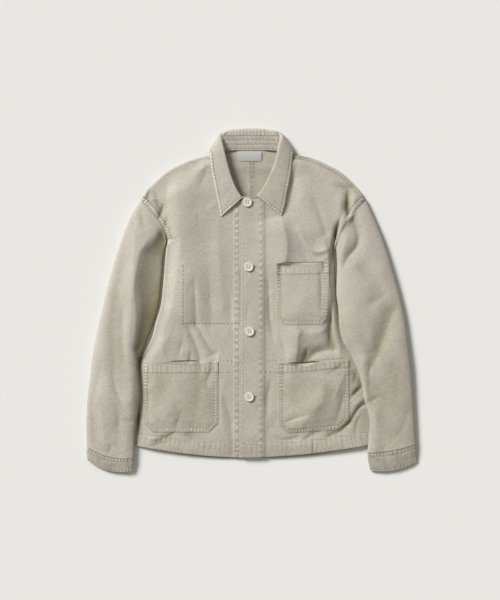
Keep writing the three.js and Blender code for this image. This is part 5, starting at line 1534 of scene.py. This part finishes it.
def stitch_tree():
    """Follows polylines with short threads laid end to end."""
    tree = bpy.data.node_groups.new("stitch rows", "GeometryNodeTree")
    face = tree.interface
    face.new_socket("Geometry", in_out="INPUT", socket_type="NodeSocketGeometry")
    for name in ("Pitch", "Stitch length", "Thread width"):
        face.new_socket(name, in_out="INPUT", socket_type="NodeSocketFloat")
    face.new_socket("Thread", in_out="INPUT", socket_type="NodeSocketMaterial")
    face.new_socket("Geometry", in_out="OUTPUT", socket_type="NodeSocketGeometry")
    source, result = tree.nodes.new("NodeGroupInput"), tree.nodes.new("NodeGroupOutput")
    curve = tree.nodes.new("GeometryNodeMeshToCurve")
    steps = tree.nodes.new("GeometryNodeResampleCurve")
    steps.mode = "LENGTH"
    bead = tree.nodes.new("GeometryNodeMeshUVSphere")
    bead.inputs["Segments"].default_value = 6
    bead.inputs["Rings"].default_value = 4
    bead.inputs["Radius"].default_value = 0.5
    tangent = tree.nodes.new("GeometryNodeInputTangent")
    aim = tree.nodes.new("FunctionNodeAlignEulerToVector")
    aim.axis = "Z"
    size = tree.nodes.new("ShaderNodeCombineXYZ")
    copies = tree.nodes.new("GeometryNodeInstanceOnPoints")
    real = tree.nodes.new("GeometryNodeRealizeInstances")
    finish = tree.nodes.new("GeometryNodeSetMaterial")
    smooth_faces = tree.nodes.new("GeometryNodeSetShadeSmooth")
    link = tree.links.new
    link(source.outputs["Geometry"], curve.inputs["Mesh"])
    link(curve.outputs["Curve"], steps.inputs["Curve"])
    link(source.outputs["Pitch"], steps.inputs["Length"])
    link(steps.outputs["Curve"], copies.inputs["Points"])
    link(bead.outputs["Mesh"], copies.inputs["Instance"])
    link(tangent.outputs["Tangent"], aim.inputs["Vector"])
    link(aim.outputs["Rotation"], copies.inputs["Rotation"])
    link(source.outputs["Thread width"], size.inputs["X"])
    link(source.outputs["Thread width"], size.inputs["Y"])
    link(source.outputs["Stitch length"], size.inputs["Z"])
    link(size.outputs["Vector"], copies.inputs["Scale"])
    link(copies.outputs["Instances"], real.inputs["Geometry"])
    link(real.outputs["Geometry"], smooth_faces.inputs["Geometry"])
    link(smooth_faces.outputs["Geometry"], finish.inputs["Geometry"])
    link(source.outputs["Thread"], finish.inputs["Material"])
    link(finish.outputs["Geometry"], result.inputs["Geometry"])
    return tree


STITCH_ROWS = stitch_tree()


def make_stitches(name, paths, pitch=STITCH_PITCH, length=2.7, width=THREAD):
    """Stitches along paths of points in space, as one plain mesh."""
    points, edges = [], []
    for path in paths:
        start = len(points)
        points += [tuple(c * MM for c in p) for p in path]
        edges += [(start + n, start + n + 1) for n in range(len(path) - 1)]
    mesh = bpy.data.meshes.new(name)
    mesh.from_pydata(points, edges, [])
    obj = add_object(name, mesh)
    rows_modifier = obj.modifiers.new("rows", "NODES")
    rows_modifier.node_group = STITCH_ROWS
    values = {"Pitch": pitch * MM, "Stitch length": length * MM, "Thread width": width * MM,
              "Thread": THREAD_FINISH}
    for item in STITCH_ROWS.interface.items_tree:
        if item.in_out == "INPUT" and item.name in values:
            rows_modifier[item.identifier] = values[item.name]
    evaluated = obj.evaluated_get(bpy.context.evaluated_depsgraph_get())
    made = bpy.data.meshes.new_from_object(evaluated)
    obj.modifiers.clear()
    obj.data = made
    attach(obj, "root")
    return obj


def refined(path, step=1.6):
    points = []
    for (x0, y0), (x1, y1) in zip(path[:-1], path[1:]):
        count = max(1, int(math.hypot(x1 - x0, y1 - y0) / step))
        points += [(mix(x0, x1, n / count), mix(y0, y1, n / count)) for n in range(count)]
    return np.array(points + [path[-1]])


def laid_on(surface, path, proud=0.12):
    """A plan path laid on a surface, a little proud of it."""
    plan = refined(path)
    z = surface(plan[:, 0], plan[:, 1])[0]
    return [(x, y, h + proud) for (x, y), h in zip(plan, z)]


for name, panel in (("left_front_stitches", left_front), ("right_front_stitches", right_front)):
    make_stitches(name, [laid_on(lambda x, y: front_surface(panel, x, y), p) for p in panel.stitches])
for name, panel, pocket in (
    ("chest_pocket_stitches", left_front, CHEST_POCKET),
    ("left_pocket_stitches", left_front, LOWER_LEFT_POCKET),
    ("right_pocket_stitches", right_front, LOWER_RIGHT_POCKET),
):
    paths = [pocket_outline(pocket, 2.6), pocket_outline(pocket, 8.6), band_line(pocket)]
    make_stitches(name, [laid_on(lambda x, y: pocket_surface(panel, pocket, x, y), p) for p in paths])

make_stitches("back_stitches", [laid_on(lambda x, y: back_surface(panel, x, y), back_stitch(panel))
                                for panel in (left_front, right_front)])
make_stitches("collar_stitches", leaf_paths + stand_paths)
make_stitches("cuff_stitches", right_cuff_paths + left_cuff_paths)

button_threads = []
for number, (x, y) in enumerate(BUTTONS, 1):
    made, ground = make_button(f"cream_button_{number}", x, y)
    dress(made, CREAM, [f"button_{number}"])
    if number > 1:
        button_threads += thread_paths_of_button(x, y, ground)
make_stitches("button_threads", button_threads, pitch=0.5, length=0.9, width=0.5)


# Stage, light and camera

bpy.ops.mesh.primitive_plane_add(size=12, location=(0, 0, -0.0003))
floor = bpy.context.object
floor.name = "floor"
floor.data.materials.append(floor_material())

key_data = bpy.data.lights.new("key", "SUN")
key_data.energy, key_data.angle, key_data.color = 3.9, math.radians(22), (1.0, 0.995, 0.985)
key = bpy.data.objects.new("key", key_data)
key.rotation_euler = Vector((-0.62, 0.54, 0.55)).to_track_quat("Z", "Y").to_euler()
bpy.context.scene.collection.objects.link(key)
world = bpy.data.worlds.new("studio")
world.use_nodes = True
world.node_tree.nodes["Background"].inputs["Color"].default_value = (1.0, 0.985, 0.93, 1)
world.node_tree.nodes["Background"].inputs["Strength"].default_value = 0.31
bpy.context.scene.world = world
bpy.context.scene.view_settings.view_transform = "Standard"

CAMERA_HEIGHT = 5.0
FIELD_HEIGHT = 1.320  # the photograph's 600 rows at 2.2 mm each
FIELD_LEVEL = 0.012  # the level, within the jacket, at which the field has this height
FIELD_CENTRE = (-0.0033, 0.0011)
camera_data = bpy.data.cameras.new("camera")
camera_data.sensor_fit = "VERTICAL"
camera_data.angle_y = 2 * math.atan(FIELD_HEIGHT / 2 / (CAMERA_HEIGHT - FIELD_LEVEL))
camera = bpy.data.objects.new("camera", camera_data)
camera.location = (*FIELD_CENTRE, CAMERA_HEIGHT)
bpy.context.scene.collection.objects.link(camera)
bpy.context.scene.camera = camera

bpy.context.view_layer.update()
